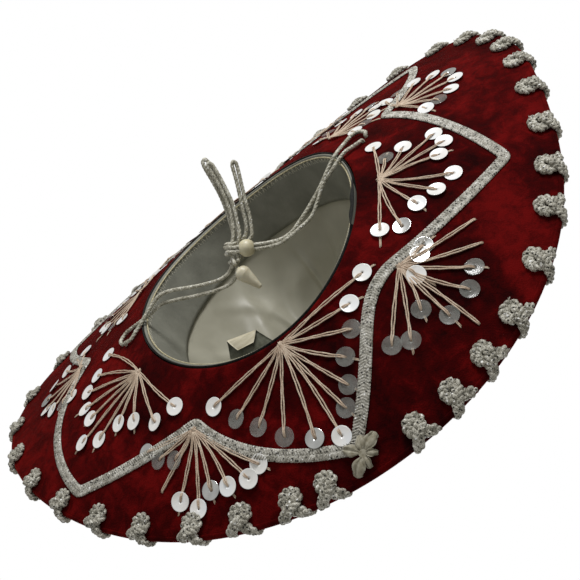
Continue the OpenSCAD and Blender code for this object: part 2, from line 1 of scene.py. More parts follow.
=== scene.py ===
"""Velvet charro sombrero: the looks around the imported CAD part. Units in the helpers are millimetres."""

import math

import bpy
import numpy as np
from mathutils import Matrix, Vector


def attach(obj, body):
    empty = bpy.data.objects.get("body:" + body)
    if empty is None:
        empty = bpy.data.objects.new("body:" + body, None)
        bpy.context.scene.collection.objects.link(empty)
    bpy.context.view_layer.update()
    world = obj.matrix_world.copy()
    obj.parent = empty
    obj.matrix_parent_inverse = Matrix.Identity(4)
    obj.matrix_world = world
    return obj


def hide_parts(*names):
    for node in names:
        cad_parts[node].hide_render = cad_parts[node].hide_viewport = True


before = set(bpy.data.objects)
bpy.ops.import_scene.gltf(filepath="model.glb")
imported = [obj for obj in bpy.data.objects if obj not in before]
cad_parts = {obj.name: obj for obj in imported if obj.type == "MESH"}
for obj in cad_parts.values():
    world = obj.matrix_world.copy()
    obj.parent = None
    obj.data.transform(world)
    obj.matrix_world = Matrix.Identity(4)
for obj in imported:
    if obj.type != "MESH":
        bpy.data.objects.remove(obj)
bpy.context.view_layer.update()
MM = 0.001
rng = np.random.default_rng(7)
HAT = "hat"


# ---------- small helpers ----------
def sind(a):
    return np.sin(np.radians(a))


def cosd(a):
    return np.cos(np.radians(a))


def unit(v):
    return v / np.maximum(np.linalg.norm(v, axis=-1, keepdims=True), 1e-12)


def rotation(ax, ay, az):
    """Turn about X, then Y, then Z, as part.scad's rotate does."""
    cx, sx, cy, sy, cz, sz = cosd(ax), sind(ax), cosd(ay), sind(ay), cosd(az), sind(az)
    rx = np.array([[1, 0, 0], [0, cx, -sx], [0, sx, cx]])
    ry = np.array([[cy, 0, sy], [0, 1, 0], [-sy, 0, cy]])
    rz = np.array([[cz, -sz, 0], [sz, cz, 0], [0, 0, 1]])
    return rz @ ry @ rx


class Soup:
    """Vertices and faces gathered from many small solids."""

    def __init__(self):
        self.verts, self.faces, self.count = [], [], 0

    def add(self, verts, faces):
        for f in faces:
            if isinstance(f, np.ndarray):
                self.faces.extend((f + self.count).tolist())
            else:
                self.faces.append([k + self.count for k in f])
        self.verts.append(np.asarray(verts, float).reshape(-1, 3))
        self.count += len(self.verts[-1])
        return self


def solid(verts, faces):
    """A soup of one solid."""
    return Soup().add(verts, faces)


def patch_walls(n, m):
    """Faces that join the edges of two grids of n by m points, the second numbered after the first."""
    edge = [i * m for i in range(n)] + [(n - 1) * m + j for j in range(1, m)]
    edge += [i * m + m - 1 for i in range(n - 2, -1, -1)] + [j for j in range(m - 2, 0, -1)]
    return [[a, b, b + n * m, a + n * m] for a, b in zip(edge, edge[1:] + edge[:1])]


def piece(name, soup, material, stands_for=(), body=HAT, smooth=True):
    """A mesh object that rides on a body and stands for CAD nodes."""
    data = bpy.data.meshes.new(name)
    data.from_pydata((np.vstack(soup.verts) * MM).tolist(), [], soup.faces)
    if smooth:
        data.polygons.foreach_set("use_smooth", [True] * len(data.polygons))
    data.materials.append(material)
    data.update()
    obj = bpy.data.objects.new(name, data)
    bpy.context.scene.collection.objects.link(obj)
    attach(obj, body)
    if stands_for:
        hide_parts(*stands_for)
    return obj


def grid_faces(n, m, wrap_n=False, wrap_m=False):
    """Quads of an n by m grid of vertices, row after row."""
    i = np.arange(n if wrap_n else n - 1)[:, None]
    j = np.arange(m if wrap_m else m - 1)[None, :]
    a, b = i * m + j, i * m + (j + 1) % m
    c, d = ((i + 1) % n) * m + (j + 1) % m, ((i + 1) % n) * m + j
    return np.stack([a, b, c, d], -1).reshape(-1, 4)


def ring(sections):
    """Closed ring from sections, an array of (around, points of the section, 3)."""
    n, m, _ = sections.shape
    return sections.reshape(-1, 3), [grid_faces(n, m, True, True)]


def transport(path, first):
    """Side vectors along a path that turn as little as they can."""
    tangent = unit(np.gradient(path, axis=0))
    side = np.zeros_like(path)
    v = np.asarray(first, float)
    for i, t in enumerate(tangent):
        v = v - (v @ t) * t
        v = v / np.linalg.norm(v)
        side[i] = v
    return tangent, side


def bar(path, side, up, section):
    """Open bar: section is (rings, points, 2) or (points, 2) in side and up, with flat ends."""
    n = len(path)
    if section.ndim == 2:
        section = np.broadcast_to(section, (n,) + section.shape)
    m = section.shape[1]
    verts = path[:, None] + section[..., :1] * side[:, None] + section[..., 1:] * up[:, None]
    return verts.reshape(-1, 3), [
        grid_faces(n, m, False, True), list(range(m))[::-1], list(range((n - 1) * m, n * m))]


def circle(r, sides):
    a = np.arange(sides) * 2 * math.pi / sides
    return np.stack([r * np.cos(a), r * np.sin(a)], -1)


def smooth_path(points, step, rounds=0):
    """Curve through the points, with a vertex every step."""
    p = np.asarray(points, float)
    ends = np.vstack([2 * p[0] - p[1], p, 2 * p[-1] - p[-2]])
    out = []
    for i in range(1, len(ends) - 2):
        a, b, c, d = ends[i - 1], ends[i], ends[i + 1], ends[i + 2]
        k = max(2, int(np.linalg.norm(c - b) / step * 2))
        u = np.arange(k)[:, None] / k
        out.append(0.5 * (2 * b + (c - a) * u + (2 * a - 5 * b + 4 * c - d) * u**2
                          + (3 * b - a - 3 * c + d) * u**3))
    out.append(p[-1:])
    q = np.vstack(out)
    q = resample(q, step)
    for _ in range(rounds):
        q[1:-1] = (q[:-2] + 2 * q[1:-1] + q[2:]) / 4
    return resample(q, step)


def resample(q, step):
    s = np.r_[0, np.cumsum(np.linalg.norm(np.diff(q, axis=0), axis=1))]
    n = max(3, int(s[-1] / step) + 1)
    u = np.linspace(0, s[-1], n)
    return np.stack([np.interp(u, s, q[:, k]) for k in range(q.shape[1])], -1)


def lengths(path):
    return np.r_[0, np.cumsum(np.linalg.norm(np.diff(path, axis=0), axis=1))]


# ---------- the hat's surfaces, as in part.scad ----------
OPEN_X, OPEN_Y, OPEN_RISE = 79.0, 96.0, 11.6
RIM_X, RIM_Y, RIM_BACK = 206.0, 173.5, 15.0
RIM_H, FRONT_LIFT, SADDLE, SIDE_LIFT, TWIST = 38.3, 6.4, 16.6, 4.1, -4.5
SLOPE_IN, SLOPE_OUT = 26.0, 32.0
VELVET, BOARD_OUT, TOP_IN, TOP_OUT = 0.8, 3.0, 3.2, 4.0
CROWN_H, TAPER, PINCH, ROUND = 122.0, 0.16, 0.1, 2.3
CROWN_SKIN = 2.5  # inner face of the crown's velvet, outside the opening's oval


def rim_stretch(t):
    away = np.abs((t + 180) % 360 - 180)
    share = 0.5 + 0.5 * cosd(180 * np.maximum(0, away - 100) / 80)
    return 1 + share * (0.06 * cosd(3 * t) - 0.017 * sind(3 * t)) - 0.018 * cosd(4 * t)


def brim(t, s):
    t, s = np.broadcast_arrays(np.asarray(t, float), np.asarray(s, float))
    k, st, ct = rim_stretch(t), sind(t), cosd(t)
    g = (sind(SLOPE_IN + (SLOPE_OUT - SLOPE_IN) * s) - sind(SLOPE_IN)) / (sind(SLOPE_OUT) - sind(SLOPE_IN))
    h = (cosd(SLOPE_IN) - cosd(SLOPE_IN + (SLOPE_OUT - SLOPE_IN) * s)) / (cosd(SLOPE_IN) - cosd(SLOPE_OUT))
    ax, ay, az = OPEN_X * st, -OPEN_Y * ct, OPEN_RISE * ct**2
    bx, by = RIM_X * st * k, RIM_BACK - RIM_Y * ct * k
    bz = RIM_H + FRONT_LIFT * ct - SIDE_LIFT * st + SADDLE * cosd(2 * t) + TWIST * sind(2 * t)
    return np.stack([ax + (bx - ax) * g, ay + (by - ay) * g, az + (bz - az) * h], -1)


def along(t, s):
    return unit(brim(np.asarray(t) + 0.5, s) - brim(np.asarray(t) - 0.5, s))


def outward(t, s):
    return unit(brim(t, np.asarray(s) + 0.01) - brim(t, np.asarray(s) - 0.01))


def upward(t, s):
    return unit(np.cross(outward(t, s), along(t, s)))


def brim_at(t, s, off):
    return brim(t, s) + np.asarray(off, float)[..., None] * upward(t, s)


def brim_width(t):
    return np.linalg.norm(brim(t, 1) - brim(t, 0), axis=-1)


def walk(t0, s0, angle, dist, shift=0):
    """Places reached from (t0, s0) after dist in a direction, and shift to its side."""
    out, up = outward(t0, s0), upward(t0, s0)
    side = np.cross(out, up)
    turn = side if side @ along(t0, s0) > 0 else -side
    ahead = cosd(angle) * out + sind(angle) * turn
    aside = cosd(angle) * turn - sind(angle) * out
    dist = np.asarray(dist, float)
    goal = brim(t0, s0) + dist[:, None] * ahead + np.broadcast_to(shift, dist.shape)[:, None] * aside
    t, s = np.full(len(dist), float(t0)), np.full(len(dist), float(s0))
    for _ in range(6):
        miss = goal - brim(t, s)
        dt = (miss * along(t, s)).sum(-1) / np.linalg.norm(brim(t + 0.5, s) - brim(t - 0.5, s), axis=-1)
        ds = (miss * outward(t, s)).sum(-1) / brim_width(t)
        t, s = t + dt, s + ds
    return t, s


def crown_foot(t):
    return OPEN_RISE * cosd(t) ** 2 + BOARD_OUT + 0.9 + 2.4 * cosd(t) ** 2


def crown(t, h, off):
    t, h, off = np.broadcast_arrays(np.asarray(t, float), np.asarray(h, float), np.asarray(off, float))
    pinched = 1 - PINCH * sind(180 * h**2) ** 2 * (1 + cosd(4 * (t - 45))) / 2
    r = np.maximum(0, 1 - h**ROUND) ** (1 / ROUND) * (1 - TAPER * h) * pinched
    return np.stack([(OPEN_X + off) * r * sind(t), -(OPEN_Y + off) * r * cosd(t),
                     crown_foot(t) * (1 - h) + (CROWN_H + off) * h], -1)


def crown_normal(t, h, off):
    a = crown(t + 0.5, h, off) - crown(t - 0.5, h, off)
    return unit(np.cross(a, crown(t, h + 0.005, off) - crown(t, h - 0.005, off)))


def edge_wall(t, rise, off):
    t, rise, off = np.broadcast_arrays(*(np.asarray(v, float) for v in (t, rise, off)))
    x, y = (OPEN_X + off) * sind(t), -(OPEN_Y + off) * cosd(t)
    return np.stack([x, y, OPEN_RISE * cosd(t) ** 2 + rise], -1)


# ---------- materials ----------
class Material:
    """A procedural material. Uniform values sit on the shader's own sockets."""

    def __init__(self, name, **sockets):
        self.mat = bpy.data.materials.new(name)
        self.mat.use_nodes = True
        self.tree = self.mat.node_tree
        self.shader = next(n for n in self.tree.nodes if n.type == "BSDF_PRINCIPLED")
        for key, value in sockets.items():
            self.shader.inputs[key.replace("_", " ")].default_value = value
        self.coords = self.tree.nodes.new("ShaderNodeTexCoord").outputs["Object"]

    def node(self, kind, **inputs):
        n = self.tree.nodes.new(kind)
        for key, value in inputs.items():
            socket = n.inputs[key.replace("_", " ")]
            if isinstance(value, bpy.types.NodeSocket):
                self.tree.links.new(value, socket)
            else:
                socket.default_value = value
        return n

    def noise(self, scale, detail=3.0, rough=0.55, stretch=None, distort=0.0):
        vector = self.coords
        if stretch:
            m = self.node("ShaderNodeMapping", Vector=self.coords)
            m.inputs["Scale"].default_value = stretch
            vector = m.outputs[0]
        return self.node("ShaderNodeTexNoise", Vector=vector, Scale=scale, Detail=detail,
                         Roughness=rough, Distortion=distort).outputs["Fac"]

    def cells(self, scale, out="Distance"):
        return self.node("ShaderNodeTexVoronoi", Vector=self.coords, Scale=scale).outputs[out]

    def ramp(self, fac, *stops):
        n = self.node("ShaderNodeValToRGB", Fac=fac)
        e = n.color_ramp.elements
        while len(e) < len(stops):
            e.new(0.5)
        for k, (place, colour) in enumerate(stops):
            e[k].position = place
            e[k].color = tuple(colour) + (1,) if len(colour) == 3 else colour
        return n.outputs["Color"]

    def mix(self, a, b, fac, kind="MIX"):
        n = self.tree.nodes.new("ShaderNodeMix")
        n.data_type, n.blend_type = "RGBA", kind
        for socket, value in ((n.inputs[0], fac), (n.inputs[6], a), (n.inputs[7], b)):
            if isinstance(value, bpy.types.NodeSocket):
                self.tree.links.new(value, socket)
            elif socket == n.inputs[0]:
                socket.default_value = value
            else:
                socket.default_value = tuple(value) + (1,)
        return n.outputs[2]

    def sum(self, a, b, gain=1.0):
        n = self.tree.nodes.new("ShaderNodeMath")
        n.operation = "MULTIPLY_ADD"
        self.tree.links.new(b, n.inputs[0])
        n.inputs[1].default_value = gain
        self.tree.links.new(a, n.inputs[2])
        return n.outputs[0]

    def colour(self, socket):
        self.tree.links.new(socket, self.shader.inputs["Base Color"])
        return self

    def rough(self, fac, low, high):
        n = self.node("ShaderNodeMapRange", Value=fac, To_Min=low, To_Max=high)
        self.tree.links.new(n.outputs[0], self.shader.inputs["Roughness"])
        return self

    def bump(self, height, distance, strength=1.0):
        n = self.node("ShaderNodeBump", Height=height, Distance=distance, Strength=strength)
        self.tree.links.new(n.outputs[0], self.shader.inputs["Normal"])
        return self


def velvet_material(name, deep, mid, lit):
    m = Material(name, Sheen_Weight=0.3, Sheen_Roughness=0.3, Sheen_Tint=(1.0, 0.05, 0.035, 1),
                 Specular_IOR_Level=0.03)
    nap = m.noise(110, 4, 0.65, distort=0.5)
    patch = m.noise(14, 4, 0.55, distort=1.2)
    fibre = m.noise(1500, 2)
    tone = m.sum(m.sum(nap, patch, 1.3), fibre, 0.3)
    spread = m.node("ShaderNodeMapRange", Value=tone, From_Min=1.0, From_Max=1.6).outputs[0]
    m.colour(m.ramp(spread, (0.0, deep), (0.5, mid), (1.0, lit)))
    m.rough(nap, 0.75, 0.95)
    m.bump(m.sum(fibre, nap, 1.5), 0.0006, 0.6)
    return m.mat


def yarn_material(name, dark, mid, bright, metal=0.0, painted_glint_share=0.0, rough=(0.35, 0.6), painted_gap_shade=0.0):
    m = Material(name, Metallic=metal, Specular_IOR_Level=0.5)
    strand, blotch = m.noise(1900, 3, 0.6), m.noise(260, 3)
    tone = m.sum(strand, blotch, 0.6)
    spread = m.node("ShaderNodeMapRange", Value=tone, From_Min=0.6, From_Max=1.0).outputs[0]
    col = m.ramp(spread, (0.0, dark), (0.5, mid), (1.0, bright))
    # painted shade: near-black cells darken the colour where shade falls in the gaps between the strands
    if painted_gap_shade:
        hole = m.ramp(m.cells(520), (painted_gap_shade, (1, 1, 1)), (painted_gap_shade + 0.12, (0, 0, 0)))
        col = m.mix(col, tuple(0.22 * v for v in dark), hole)
    # painted highlights: small near-white cells mixed into the colour stand in for glints of light off the
    # threads
    if painted_glint_share:
        painted_glint_mask = m.ramp(m.cells(1300, "Color"), (1 - painted_glint_share, (0, 0, 0)), (1 - painted_glint_share + 0.04, (1, 1, 1)))
        col = m.mix(col, (1.0, 1.0, 0.98), painted_glint_mask)
    m.colour(col)
    m.rough(blotch, *rough)
    m.bump(strand, 0.0004, 0.8)
    return m.mat


VELVET_MAT = velvet_material("velvet", (0.012, 0.0003, 0.0005), (0.045, 0.0008, 0.001), (0.125, 0.003, 0.003))
# the braids and the cord get painted glints of light and painted shade in the gaps between their strands
SILVER = yarn_material("silver_braid", (0.14, 0.13, 0.10), (0.42, 0.40, 0.34), (0.85, 0.83, 0.77), 0.0, 0.13,
                       painted_gap_shade=0.22)
SCROLL = yarn_material("scroll_braid", (0.12, 0.11, 0.085), (0.40, 0.38, 0.31), (0.85, 0.83, 0.75), 0.0, 0.13,
                       painted_gap_shade=0.22)
THREAD = yarn_material("thread", (0.38, 0.27, 0.19), (0.60, 0.46, 0.34), (0.78, 0.66, 0.52), 0.0, 0.0)
CORD = yarn_material("cord", (0.17, 0.155, 0.11), (0.44, 0.42, 0.33), (0.88, 0.86, 0.76), 0.0, 0.13,
                     painted_gap_shade=0.10)

m = Material("pearl_sequin", Roughness=0.28, Coat_Weight=0.5, Coat_Roughness=0.08, Specular_IOR_Level=0.6)
m.colour(m.ramp(m.noise(110, 2), (0.35, (0.84, 0.83, 0.80)), (0.5, (0.93, 0.92, 0.90)),
                (0.65, (0.88, 0.90, 0.92))))
m.bump(m.noise(260, 2), 0.0004, 0.3)
PEARL = m.mat
m = Material("clear_sequin", Roughness=0.2, Alpha=0.27, Specular_IOR_Level=0.7, Coat_Weight=0.5)
m.colour(m.ramp(m.noise(160, 2), (0.35, (0.26, 0.265, 0.24)), (0.65, (0.42, 0.43, 0.40))))
m.bump(m.noise(300, 2), 0.0004, 0.3)
CLEAR = m.mat
m = Material("mirror_sequin", Roughness=0.2, Metallic=1.0)
m.colour(m.ramp(m.noise(90, 2), (0.35, (0.62, 0.63, 0.62)), (0.65, (0.90, 0.91, 0.90))))
m.rough(m.noise(200, 2), 0.16, 0.3).bump(m.noise(60, 1), 0.0002, 0.2)
MIRROR = m.mat

m = Material("sweatband", Specular_IOR_Level=0.45)
m.colour(m.ramp(m.noise(45, 4, 0.6), (0.3, (0.150, 0.150, 0.124)), (0.7, (0.245, 0.245, 0.205))))
m.rough(m.noise(70, 3), 0.4, 0.6).bump(m.sum(m.noise(900, 2), m.noise(60, 3), 3.0), 0.0005, 0.35)
SWEATBAND = m.mat
m = Material("lining", Sheen_Weight=0.25, Sheen_Roughness=0.3, Specular_IOR_Level=0.5)
m.colour(m.ramp(m.noise(30, 3), (0.3, (0.34, 0.325, 0.255)), (0.7, (0.45, 0.435, 0.35))))
m.rough(m.noise(60, 3), 0.36, 0.5).bump(m.noise(2200, 2, stretch=(1, 1, 0.15)), 0.0002, 0.3)
LINING = m.mat
m = Material("tape", Specular_IOR_Level=0.2)
m.colour(m.ramp(m.noise(1200, 2), (0.35, (0.006, 0.006, 0.006)), (0.7, (0.035, 0.035, 0.033))))
m.rough(m.noise(300, 2), 0.7, 0.95).bump(m.noise(1200, 2), 0.0004, 0.8)
TAPE = m.mat
m = Material("piping", Specular_IOR_Level=0.3)
m.colour(m.ramp(m.noise(800, 2), (0.35, (0.42, 0.37, 0.22)), (0.7, (0.66, 0.60, 0.42))))
m.rough(m.noise(300, 2), 0.6, 0.85).bump(m.noise(1600, 2), 0.0003, 0.6)
PIPING = m.mat
m = Material("stitch", Specular_IOR_Level=0.3)
m.colour(m.ramp(m.noise(700, 2), (0.35, (0.52, 0.50, 0.40)), (0.7, (0.74, 0.72, 0.62))))
m.rough(m.noise(300, 2), 0.5, 0.8).bump(m.noise(1600, 2), 0.0003, 0.6)
STITCH = m.mat
m = Material("label_face", Specular_IOR_Level=0.4, Sheen_Weight=0.2)
m.colour(m.ramp(m.noise(500, 3, stretch=(0.2, 1, 1)), (0.35, (0.50, 0.45, 0.31)), (0.65, (0.66, 0.61, 0.46))))
m.rough(m.noise(200, 2), 0.45, 0.65).bump(m.noise(1500, 2), 0.0003, 0.4)
LABEL = m.mat
m = Material("label_back", Specular_IOR_Level=0.3)
m.colour(m.ramp(m.noise(400, 3), (0.35, (0.075, 0.078, 0.052)), (0.65, (0.13, 0.135, 0.10))))
m.rough(m.noise(200, 2), 0.5, 0.8).bump(m.noise(1500, 2), 0.0003, 0.4)
LABEL_BACK = m.mat
m = Material("board", Specular_IOR_Level=0.2)
m.colour(m.ramp(m.noise(400, 4), (0.35, (0.30, 0.23, 0.15)), (0.65, (0.44, 0.36, 0.26))))
m.rough(m.noise(200, 2), 0.8, 0.95).bump(m.noise(900, 3), 0.0004, 0.6)
BOARD = m.mat
m = Material("wire", Metallic=1.0)
m.colour(m.ramp(m.noise(500, 2), (0.35, (0.4, 0.4, 0.4)), (0.65, (0.6, 0.6, 0.6))))
m.rough(m.noise(300, 2), 0.3, 0.5)
WIRE = m.mat
m = Material("ribbon", Specular_IOR_Level=0.4, Alpha=0.8, Sheen_Weight=0.2)
m.colour(m.ramp(m.noise(420, 3), (0.35, (0.30, 0.27, 0.19)), (0.65, (0.50, 0.47, 0.37))))
m.rough(m.noise(300, 2), 0.4, 0.6).bump(m.noise(1300, 2), 0.0003, 0.6)
RIBBON = m.mat
m = Material("bead", Specular_IOR_Level=0.5, Coat_Weight=0.25, Coat_Roughness=0.2,
             Subsurface_Weight=0.15, Subsurface_Radius=(0.004, 0.003, 0.002), Subsurface_Scale=0.5)
m.colour(m.ramp(m.noise(140, 3), (0.3, (0.50, 0.45, 0.29)), (0.6, (0.66, 0.61, 0.43)),
                (0.8, (0.74, 0.70, 0.53))))
m.rough(m.noise(200, 2), 0.35, 0.55).bump(m.noise(350, 2), 0.0003, 0.3)
BEAD = m.mat
m = Material("horn", Specular_IOR_Level=0.5, Coat_Weight=0.3, Coat_Roughness=0.2,
             Subsurface_Weight=0.15, Subsurface_Radius=(0.004, 0.003, 0.002), Subsurface_Scale=0.5)
m.colour(m.ramp(m.noise(90, 3, distort=1.5), (0.3, (0.56, 0.50, 0.35)), (0.6, (0.74, 0.69, 0.53)),
                (0.8, (0.83, 0.80, 0.66))))
m.rough(m.noise(200, 2), 0.3, 0.5).bump(m.noise(500, 2), 0.0002, 0.3)
HORN = m.mat

# ---------- camera, as the photograph was taken ----------
AZIMUTH, ELEVATION, ROLL = -8.71, -26.27, 137.61
DISTANCE, LENS = 0.5255, 55.84
TARGET = Vector((-0.0068, -0.0207, 0.0316))
back = Vector((float(sind(AZIMUTH) * cosd(ELEVATION)), float(-cosd(AZIMUTH) * cosd(ELEVATION)),
               float(sind(ELEVATION))))
level = Vector((float(cosd(AZIMUTH)), float(sind(AZIMUTH)), 0.0))
upright = back.cross(level)
right = level * float(cosd(ROLL)) + upright * float(sind(ROLL))
top = back.cross(right)
camera = bpy.data.objects.new("camera", bpy.data.cameras.new("camera"))
camera.data.lens, camera.data.sensor_width = LENS, 36.0
camera.data.clip_start, camera.data.clip_end = 0.01, 50.0
turned = Matrix((right, top, back)).transposed().to_4x4()
camera.matrix_world = Matrix.Translation(TARGET + back * DISTANCE) @ turned
bpy.context.scene.collection.objects.link(camera)
bpy.context.scene.camera = camera

# ---------- chin cords ----------
KNOT_AT = np.array([5.0, 5.0, 0.0])
KNOT = rotation(146, -37, 193)
LEFT_ROUTE = [
    [-65.3, 5.9, -57.5], [-66.5, 5.2, -56.5], [-65.4, 3.6, -55.6], [-62.2, 2.4, -53.6], [-59.7, 3.6, -49.2],
    [-57.9, 4.8, -46.2], [-55.1, 6, -41], [-52.6, 7, -36.7], [-47.5, 7.5, -29], [-41, 7.5, -25.2],
    [-33, 7, -23.6], [-25, 5.5, -22.4],
    [-17.5, 4, -20.8], [-9.5, 3, -18.5], [-4.4, 2.2, -15], [-1.9, 1.5, -10.5], [-1.4, 1.3, -6],
    [-1.3, 1.4, -1], [-0.4, 1.8, 2.2], [2.6, 2, 4.8], [6.2, 2, 7.8], [6.8, 2, 14.5], [4.6, 2, 24],
    [3.2, 2, 31.5], [0.8, 2, 42], [-1.3, 2, 49.5], [-1, 2, 52.2], [0.8, 2, 51.5], [2.4, 2, 46],
    [4.6, 2, 36.5], [7.2, 2, 26], [9, 2, 19], [10, 2, 12], [10, 2, 7.8], [7.6, 2, 4.6], [4, 1.8, 1.6],
    [1.6, 1.4, -1.5], [1.3, 1.3, -6], [1.2, 1.5, -11], [0.8, 2, -16], [-3, 2.6, -21], [-11.5, 3.6, -24.8],
    [-19, 5, -26.8], [-27, 6.5, -28.6], [-36, 8, -30.3], [-45, 9.3, -32.8], [-51.5, 9.6, -38.5],
    [-58.6, 10.1, -44], [-63.3, 13.9, -47.1], [-67.5, 15.8, -50.3], [-69.9, 13.8, -54.2],
    [-69.9, 10.4, -56.3], [-68, 9.9, -57.6]
]
RIGHT_ROUTE = [
    [78.8, -1.1, 66], [77.9, -1.9, 67.4], [78.4, 0, 69.2], [75.6, 6.1, 70.8], [72.3, 8.5, 69.9],
    [69.1, 6.8, 67], [66, 2.4, 63], [60.8, -5.4, 56], [57, -5.4, 49.6], [51.7, -4.8, 37.8], [47, -4.6, 29],
    [41.6, -4.4, 20.1], [35.1, -4.4, 10.8], [31.4, -4.4, 7.4], [27, -4.4, 5], [20, -4.4, 3.3],
    [10, -4.4, 1.9],
    [0, -4.4, 0.5], [-3.2, -3.2, 0.8], [-4.5, 0, 1.2], [-3.4, 3.2, 1.6],
    [-1.5, 4.9, 4], [-1, 5, 8], [-2.6, 4.8, 15], [-4.9, 4.6, 22.5], [-8.6, 4.4, 32], [-13.4, 4.2, 41],
    [-17.8, 4, 48.5], [-19.2, 4, 52.5], [-17.6, 4, 54], [-15.4, 4, 51.6], [-10.9, 4.2, 44.6],
    [-5.8, 4.4, 35], [-2, 4.6, 25], [0.2, 4.8, 16], [1.8, 5, 8], [1.8, 5, 2.5], [0, 4.6, -1],
    [-3.2, 3.2, -1.6], [-4.5, 0, -1.9], [-3.2, -3.2, -2.1], [0, -4.4, -2.1], [10, -4.4, -0.7],
    [20, -4.6, 0.7], [26, -6.2, 2.2], [29.8, -7.2, 4.2], [36.9, -7.2, 10], [45.2, -7.2, 17.7],
    [49.3, -7.3, 27.2],
    [52.3, -7.6, 36.6], [58.2, -9.6, 46], [64.6, -10, 55], [69.6, -7.9, 58.9], [73.4, -8, 61.4],
    [75.7, -6.1, 63.3], [76.5, -5.4, 62.1]
]
TOGGLE_ROUTE = [
    [0.5, -6, -10], [0, -4.5, -8.2], [-0.9, -2, -5.5], [-1.3, -1.3, -1], [-1.2, -1.2, 4], [-0.8, -0.5, 9],
    [-1.4, 0.5, 16], [-3.6, 0.8, 25], [-7.8, 0.9, 35], [-12.6, 0.9, 43.8], [-15.6, 0.9, 48.6],
    [-15.6, 0.9, 51.2], [-13.4, 0.9, 50.4], [-9.4, 0.9, 44], [-4.8, 0.8, 35], [-1, 0.8, 26.5],
    [1.3, 0.5, 17], [2.8, -0.5, 10], [2.4, -1.2, 5], [1.4, -1.3, -1], [2.1, -2.4, -5.3], [2.4, -4.4, -7.8]
]
CORD_D = 2.4


def twisted_cord(name, route, node):
    """A three-ply cord along a route in the knot's frame."""
    path = smooth_path(np.array(route) @ KNOT.T + KNOT_AT, 0.5, 2)
    tangent, side = transport(path, (0.31, 0.9, 0.3))
    up = np.cross(tangent, side)
    pitch, plies, sides = 7.5, 3, 24
    a = np.arange(sides) * 2 * math.pi / sides
    phase = lengths(path)[:, None] * 2 * math.pi / pitch
    turn = (a[None] - phase) * plies / 2
    radius = CORD_D / 2 * (0.74 + 0.28 * np.abs(np.cos(turn)) ** 0.7)
    section = np.stack([radius * np.cos(a), radius * np.sin(a)], -1)
    obj = piece(name, Soup().add(*bar(path, side, up, section)), CORD, [node])
    return obj


twisted_cord("chin_cord_left_look", LEFT_ROUTE, "chin_cord_left")
twisted_cord("chin_cord_right_look", RIGHT_ROUTE, "chin_cord_right")
# Turns of the toggle cord bound round the chin cord's legs, beside and under the bead. Each has its
# middle in the knot's frame, its tilt in degrees, and its two half-widths.
TURNS = [
    ((-1.7, 0, 3.0), 10, 3.5, 3.2), ((-2.1, 0.2, 0.2), -8, 3.7, 3.3),
    ((-1.7, 0, -2.7), 12, 3.4, 3.2), ((0.6, 0.4, -6.6), 24, 3.6, 2.9)
]
KNOT_SIDES, KNOT_RINGS, KNOT_TWISTS = 18, 60, 4
wraps = Soup()
for centre, tilt, r1, r2 in TURNS:
    a = np.linspace(0, 2 * math.pi, KNOT_RINGS, endpoint=False)
    rise = 0.55 * np.sin(a) + math.tan(math.radians(tilt)) * r1 * np.cos(a)
    loop = np.stack([r1 * np.cos(a), r2 * np.sin(a) + 0.8, rise], -1)
    path = (loop + np.array(centre)) @ KNOT.T + KNOT_AT
    ahead = unit(np.roll(path, -1, 0) - np.roll(path, 1, 0))
    side = unit(np.cross(ahead, KNOT @ np.array([0.0, 0.0, 1.0])))
    up = np.cross(side, ahead)
    b = np.arange(KNOT_SIDES) * 2 * math.pi / KNOT_SIDES
    phase = np.arange(KNOT_RINGS)[:, None] / KNOT_RINGS * 2 * math.pi * KNOT_TWISTS
    rr = CORD_D / 2 * (0.74 + 0.28 * np.abs(np.cos((b[None] * 3 - phase) / 2)) ** 0.7)
    across = (rr * np.cos(b))[..., None] * side[:, None]
    wraps.add(*ring(path[:, None] + across + (rr * np.sin(b))[..., None] * up[:, None]))
knot = piece("toggle_cord_knot", wraps, CORD)
twisted_cord("toggle_cord_look", TOGGLE_ROUTE, "toggle_cord")

# ---------- velvet and board ----------
AROUND = 360
turn = np.arange(AROUND) * 360 / AROUND


def brim_shell(s0, s1, off0, off1, steps):
    s = np.linspace(s0, s1, steps)
    t = turn[:, None]
    low = brim_at(t, s, np.full((1, steps), off0))
    high = brim_at(t, s[::-1], np.full((1, steps), off1))
    return ring(np.concatenate([low, high], 1))


piece("brim_under_pile", solid(*brim_shell(0, 0.985, 0, VELVET, 60)), VELVET_MAT,
      ["brim_under_velvet"])
piece("brim_top_pile", solid(*brim_shell(0.08, 0.985, TOP_IN, TOP_OUT, 50)), VELVET_MAT,
      ["brim_top_velvet"])
roll = np.linspace(-100, 100, 15)
centre, r_edge = 2.0, 2.35
out_v, up_v = outward(turn, 0.99)[:, None], upward(turn, 0.99)[:, None]
middle = brim_at(turn, 1 - 2.3 / brim_width(turn), np.full(AROUND, centre))[:, None]
around_edge = cosd(roll)[None, :, None] * out_v + sind(roll)[None, :, None] * up_v
piece("rim_edge", solid(*ring(middle + r_edge * around_edge)), VELVET_MAT, ["rim_binding"])


